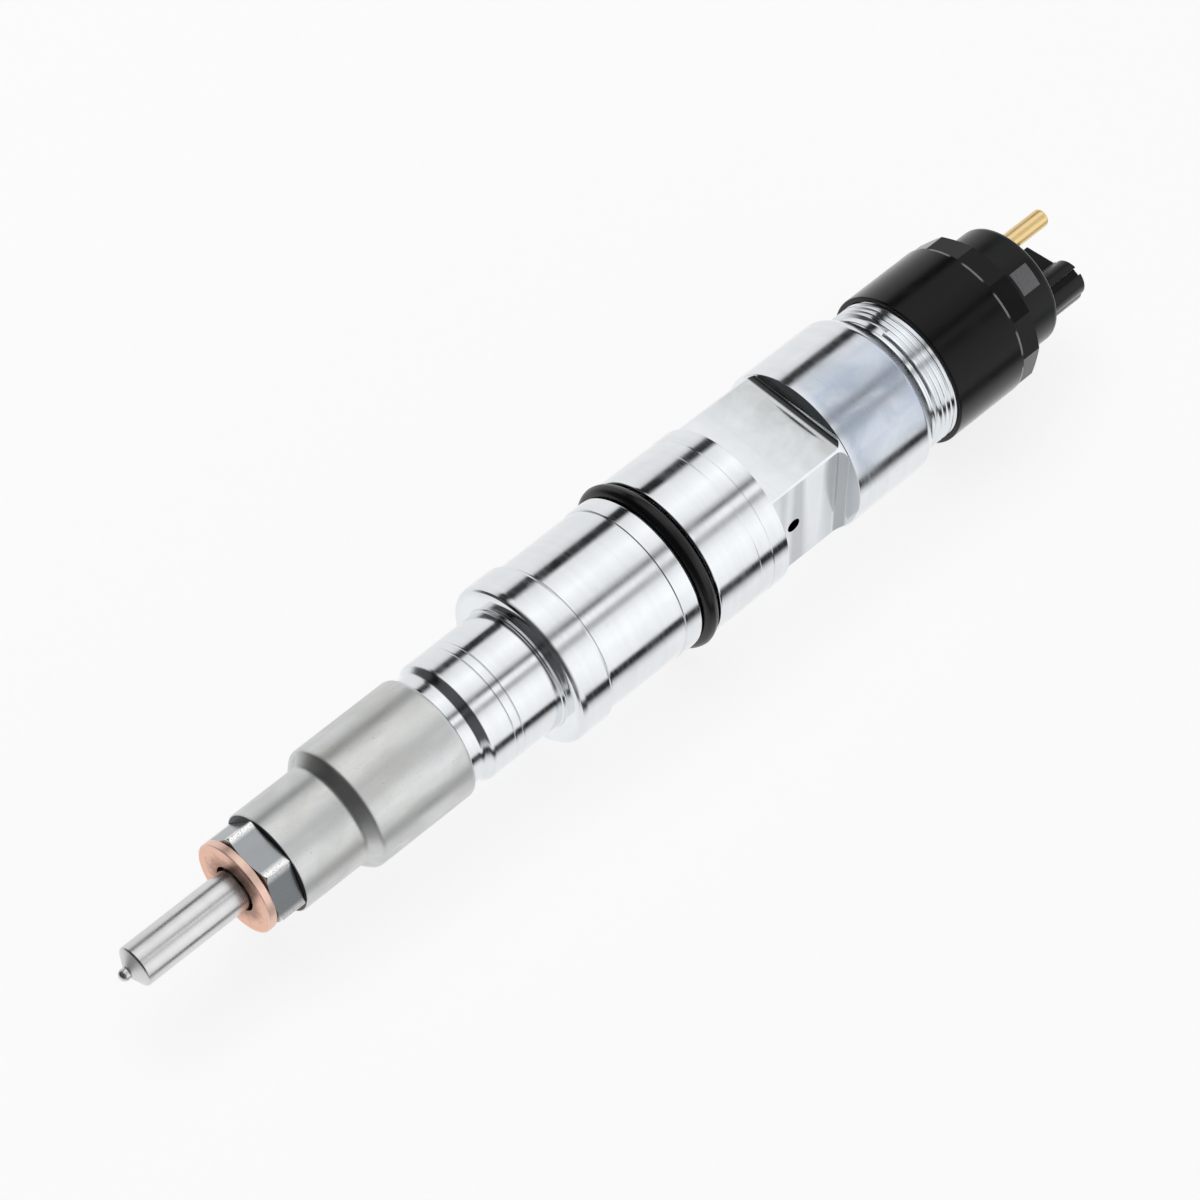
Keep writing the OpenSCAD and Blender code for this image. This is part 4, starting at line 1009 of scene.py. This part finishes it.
class INJECTOR_OT_solenoid_nut(bpy.types.Operator):
    """Add the black solenoid nut with its twelve flats"""

    bl_idname = "injector.solenoid_nut"
    bl_label = "Add Solenoid Nut"

    def execute(self, context):
        s = sizes()
        start, end, outer = CAP_START, CAP_END, CAP_R
        thread_end = BODY_END + 0.6
        outline = soften([
            (start + 2, s.thread_r + 0.1), (start, s.thread_r + 0.1, 0.15), (start, outer, 0.7),
            (s.cap_flats_x, outer, 0.12), (s.cap_flats_x, outer - 0.05), (end - 0.5, outer - 0.05),
            (end, s.cap_af / 2 - 0.5, 0.15), (end, s.head_r + 0.1, 0.2),
            (CAP_SHOULDER, s.head_r + 0.1), (CAP_SHOULDER, 12.3), (thread_end, 12.3),
            (thread_end, s.thread_r + 0.1),
        ])
        nut = turned("cap", outline, s.rings)
        boolean(nut, flats_cutter(s.cap_flats_x, end + 1, s.cap_af, 12, s.cap_turn))
        finish_piece(nut, "black_nut", "solenoid_nut")
        return {"FINISHED"}


class INJECTOR_OT_head(bpy.types.Operator):
    """Add the plastic head with its grooved tower and sloping web"""

    bl_idname = "injector.head"
    bl_label = "Add Connector Head"

    def execute(self, context):
        s = sizes()
        start, foot_r, rim = HEAD_START, 9.35, BODY_END + 1.5
        outline = soften([
            (start, 0), (start, foot_r, 0.3), (rim, foot_r), (rim, HEAD_FLANGE_R),
            (CAP_SHOULDER, HEAD_FLANGE_R), (CAP_SHOULDER, s.head_r),
            (s.head_top, s.head_r, 1.0), (s.head_top, 0),
        ])
        head = turned("head", outline, s.rings, closed=False)

        def shape(piece, operation="DIFFERENCE"):
            piece.rotation_euler.x = s.head_turn
            place_in_mesh(piece)
            boolean(head, piece, operation)

        shape(self.tower(s), "UNION")
        shape(self.web(s), "UNION")
        depth = s.tower_top - s.head_top + 1
        shape(drill((s.head_top + 0.05, -s.pin_offset, 0), (1, 0, 0), depth, s.pin_r + 1.0, steps=49))
        shape(self.groove(s, depth))
        for side in (-1, 1):
            foot = (start - 1, side * s.pin_offset, 0)
            shape(drill(foot, (1, 0, 0), s.head_top - start + 2, PIN_FOOT_R + 0.01, steps=32))
        finish_piece(head, "head_plastic", "connector_head")
        return {"FINISHED"}

    def tower(self, s):
        """Round collar joined to a lobe beside it."""
        tower, lobe = self.post(s, 0.0, 3.7), self.post(s, LOBE_OUT, LOBE_R)
        boolean(tower, lobe, "UNION")
        return tower

    def post(self, s, side, radius):
        """Round post on the head with a rounded top edge."""
        root = s.head_top - 1
        post = drill((root, -s.pin_offset, side), (1, 0, 0), s.tower_top - root, radius, steps=61)
        edit(post)
        select_where(post, "EDGE", lambda p: p.x > s.tower_top - 0.001)
        bpy.ops.mesh.bevel(offset=0.3 * MM, segments=4)
        close_up()
        return post

    def web(self, s):
        """Block whose top slopes down towards the open terminal."""
        near, far = -s.pin_offset + 3.3, s.pin_offset - s.pin_r - 0.9
        root, thick, drop = s.head_top - 1, 1.8, 2.2
        web = block(
            (s.tower_top - root, far - near, thick), ((s.tower_top + root) / 2, (near + far) / 2, 0)
        )
        edit(web)
        select_where(web, "VERT", lambda p: p.x > s.tower_top - 0.1 and p.y > far - 0.1)
        bpy.ops.transform.translate(value=(-drop * MM, 0, 0))
        select_where(web, "EDGE", lambda p: p.x > s.head_top)
        bpy.ops.mesh.bevel(offset=0.2 * MM, segments=3)
        close_up()
        return web

    def groove(self, s, depth):
        """Thin block that grooves the tower's lobe from outside."""
        width, reach = 1.3, 2.1
        lobe_end, bite = LOBE_OUT + LOBE_R, 1.1
        return block(
            (depth, width, reach),
            (s.head_top + 0.1 + depth / 2, -s.pin_offset, lobe_end + reach / 2 - bite),
        )


class INJECTOR_OT_terminals(bpy.types.Operator):
    """Add the two round gold terminals"""

    bl_idname = "injector.terminals"
    bl_label = "Add Terminals"

    def execute(self, context):
        s = sizes()
        tail_r, step, seat = 0.6, HEAD_START + 1, s.head_top + 0.15
        for number, side, end in ((1, 1, PIN_1_END), (2, -1, PIN_2_END)):
            outline = soften([
                (PIN_START, 0), (PIN_START, tail_r), (step, tail_r), (step, PIN_FOOT_R),
                (seat, PIN_FOOT_R), (seat, s.pin_r, 0.15),
                (end, s.pin_r, 1.15), (end, 0),
            ], steps=8)
            pin = turned(f"terminal_{number}", outline, 64, closed=False)
            pin.location = (0, side * s.pin_offset * MM, 0)
            place_in_mesh(pin)
            pin.rotation_euler.x = s.head_turn
            place_in_mesh(pin)
            finish_piece(pin, "terminal_gold", f"terminal_pin_{number}")
        return {"FINISHED"}


# ---------------------------------------------------------------- stage


class INJECTOR_OT_stage(bpy.types.Operator):
    """Add the pale floor, the studio light and the camera"""

    bl_idname = "injector.stage"
    bl_label = "Set Stage"

    def execute(self, context):
        scene = context.scene
        bpy.ops.mesh.primitive_plane_add(size=6, location=(0.08, 0, -SEAL_R * MM))
        floor = context.active_object
        floor.name = "floor"
        place_in_mesh(floor)
        floor.data.materials.append(floor_finish())
        floor.visible_glossy = False
        floor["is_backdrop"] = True
        scene.world = Tent("tent", TENT).world
        area("key", (-0.05, 0.35, 0.75), (0.08, 0, 0), 0.7, 0.5, 1.5).visible_glossy = False
        scene.view_settings.view_transform = "Standard"
        self.camera(scene)
        return {"FINISHED"}

    def camera(self, scene):
        """Camera that looks down on the injector, aimed at a point on its axis."""
        azimuth, elevation = math.radians(-44.4), math.radians(52.9)
        distance, lens = 0.704, 135.0
        right = Vector((math.cos(azimuth), math.sin(azimuth), 0))
        back = Vector((
            math.sin(azimuth) * math.cos(elevation), -math.cos(azimuth) * math.cos(elevation),
            math.sin(elevation),
        ))
        up = back.cross(right)
        aim = Vector((0.0768, 0, 0)) - right * 0.25 * MM + up * 0.32 * MM
        data = bpy.data.cameras.new("camera")
        data.lens = lens
        data.sensor_width = 36.0
        data.clip_start, data.clip_end = 0.01, 20.0
        camera = bpy.data.objects.new("camera", data)
        scene.collection.objects.link(camera)
        turn_matrix = Matrix((right, up, back)).transposed()
        camera.matrix_world = Matrix.Translation(aim + back * distance) @ turn_matrix.to_4x4()
        scene.camera = camera


def floor_finish():
    """White light table, with a very faint tooth."""
    table = Finish("floor", (0.2, 0.2, 0.2), 0.8)
    tooth = table.grain((1.5, 1.5, 1.5), detail=3)
    table.colour(table.mix(table.level(tooth, 0.3, 0.7), (0.20, 0.20, 0.20), (0.19, 0.19, 0.19)))
    table.shader.inputs["Emission Color"].default_value = (1, 1, 1, 1)
    table.shader.inputs["Emission Strength"].default_value = 0.82
    return table.material


# Brightness of the light tent round the injector's axis, at angles in degrees from +Y to +Z.
TENT = (
    (-62, 0.97), (-36, 0.86), (14, 0.86), (24, 0.78), (28, 0.60), (31, 0.03), (43, 0.01),
    (46, 0.40), (49, 0.84), (66, 0.97), (80, 1.10), (94, 0.98), (104, 0.88), (110, 0.52),
    (114, 0.14), (117, 0.35), (121, 0.96), (126, 1.02), (132, 0.45), (136, 0.45), (141, 0.86),
    (152, 1.04), (166, 1.10), (180, 1.02), (199, 0.94), (202, 0.70), (205, 0.01), (214, 0.02),
    (222, 0.68), (230, 0.90), (270, 0.88), (297, 0.97),
)


class Tent(Finish):
    """Light tent: a white world with narrow dark gaps along the injector and a dark front."""

    def __init__(self, name, gaps):
        self.world = bpy.data.worlds.new(name)
        self.world.use_nodes = True
        self.tree = self.world.node_tree
        self.place = self.add("ShaderNodeTexCoord").outputs["Generated"]
        x, y, z = self.axes()
        first = gaps[0][0]
        turned_by = self.maths("SUBTRACT", self.maths("ARCTAN2", z, y), math.radians(first))
        share = self.maths("FRACT", self.maths("DIVIDE", turned_by, math.tau))
        ramp = self.add("ShaderNodeValToRGB")
        self.join(share, ramp.inputs["Fac"])
        stops = ramp.color_ramp.elements
        stops.remove(stops[1])
        for i, (angle, bright) in enumerate(gaps):
            stop = stops.new((angle - first) / 360) if i else stops[0]
            stop.color = (bright, bright, bright, 1)
        front = self.times(self.level(x, -0.30, -0.05, 0.92, 0.0), self.level(z, -0.35, -0.1))
        seen = self.mix(front, ramp.outputs["Color"], (0.0, 0.0, 0.0))
        self.join(seen, self.tree.nodes["Background"].inputs["Color"])


def area(name, place, aim, width, height, watts):
    """Rectangular soft light at a place, aimed at a point."""
    data = bpy.data.lights.new(name, "AREA")
    data.shape = "RECTANGLE"
    data.size, data.size_y, data.energy = width, height, watts
    light = bpy.data.objects.new(name, data)
    bpy.context.scene.collection.objects.link(light)
    light.location = place
    light.rotation_euler = (Vector(aim) - Vector(place)).to_track_quat("-Z", "Y").to_euler()
    return light


# ---------------------------------------------------------------- panel and registration


class INJECTOR_PT_panel(bpy.types.Panel):
    """Lists the pieces of the injector and their sizes"""

    bl_idname = "INJECTOR_PT_panel"
    bl_label = "Fuel Injector"
    bl_space_type = "VIEW_3D"
    bl_region_type = "UI"
    bl_category = "Injector"

    def draw(self, context):
        for operator in OPERATORS:
            self.layout.operator(operator.bl_idname)
        for group in (context.scene.injector_sizes, context.scene.injector_colours):
            box = self.layout.box()
            for name in group.__annotations__:
                box.prop(group, name)


OPERATORS = (
    INJECTOR_OT_inner_pieces,
    INJECTOR_OT_nozzle,
    INJECTOR_OT_washer,
    INJECTOR_OT_nozzle_nut,
    INJECTOR_OT_body,
    INJECTOR_OT_seal_ring,
    INJECTOR_OT_solenoid_nut,
    INJECTOR_OT_head,
    INJECTOR_OT_terminals,
    INJECTOR_OT_stage,
)
CLASSES = (InjectorSizes, InjectorColours, *OPERATORS, INJECTOR_PT_panel)


def register():
    for cls in CLASSES:
        bpy.utils.register_class(cls)
    bpy.types.Scene.injector_sizes = PointerProperty(type=InjectorSizes)
    bpy.types.Scene.injector_colours = PointerProperty(type=InjectorColours)


def unregister():
    del bpy.types.Scene.injector_colours
    del bpy.types.Scene.injector_sizes
    for cls in reversed(CLASSES):
        bpy.utils.unregister_class(cls)


def main():
    register()
    bpy.ops.injector.inner_pieces()
    bpy.ops.injector.nozzle()
    bpy.ops.injector.washer()
    bpy.ops.injector.nozzle_nut()
    bpy.ops.injector.body()
    bpy.ops.injector.seal_ring()
    bpy.ops.injector.solenoid_nut()
    bpy.ops.injector.head()
    bpy.ops.injector.terminals()
    bpy.ops.injector.stage()
    boxes = {"cad": CAD_BOX, "visual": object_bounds()}
    boxes = {name: [list(corner) for corner in box] for name, box in boxes.items()}


if __name__ == "__main__":
    main()
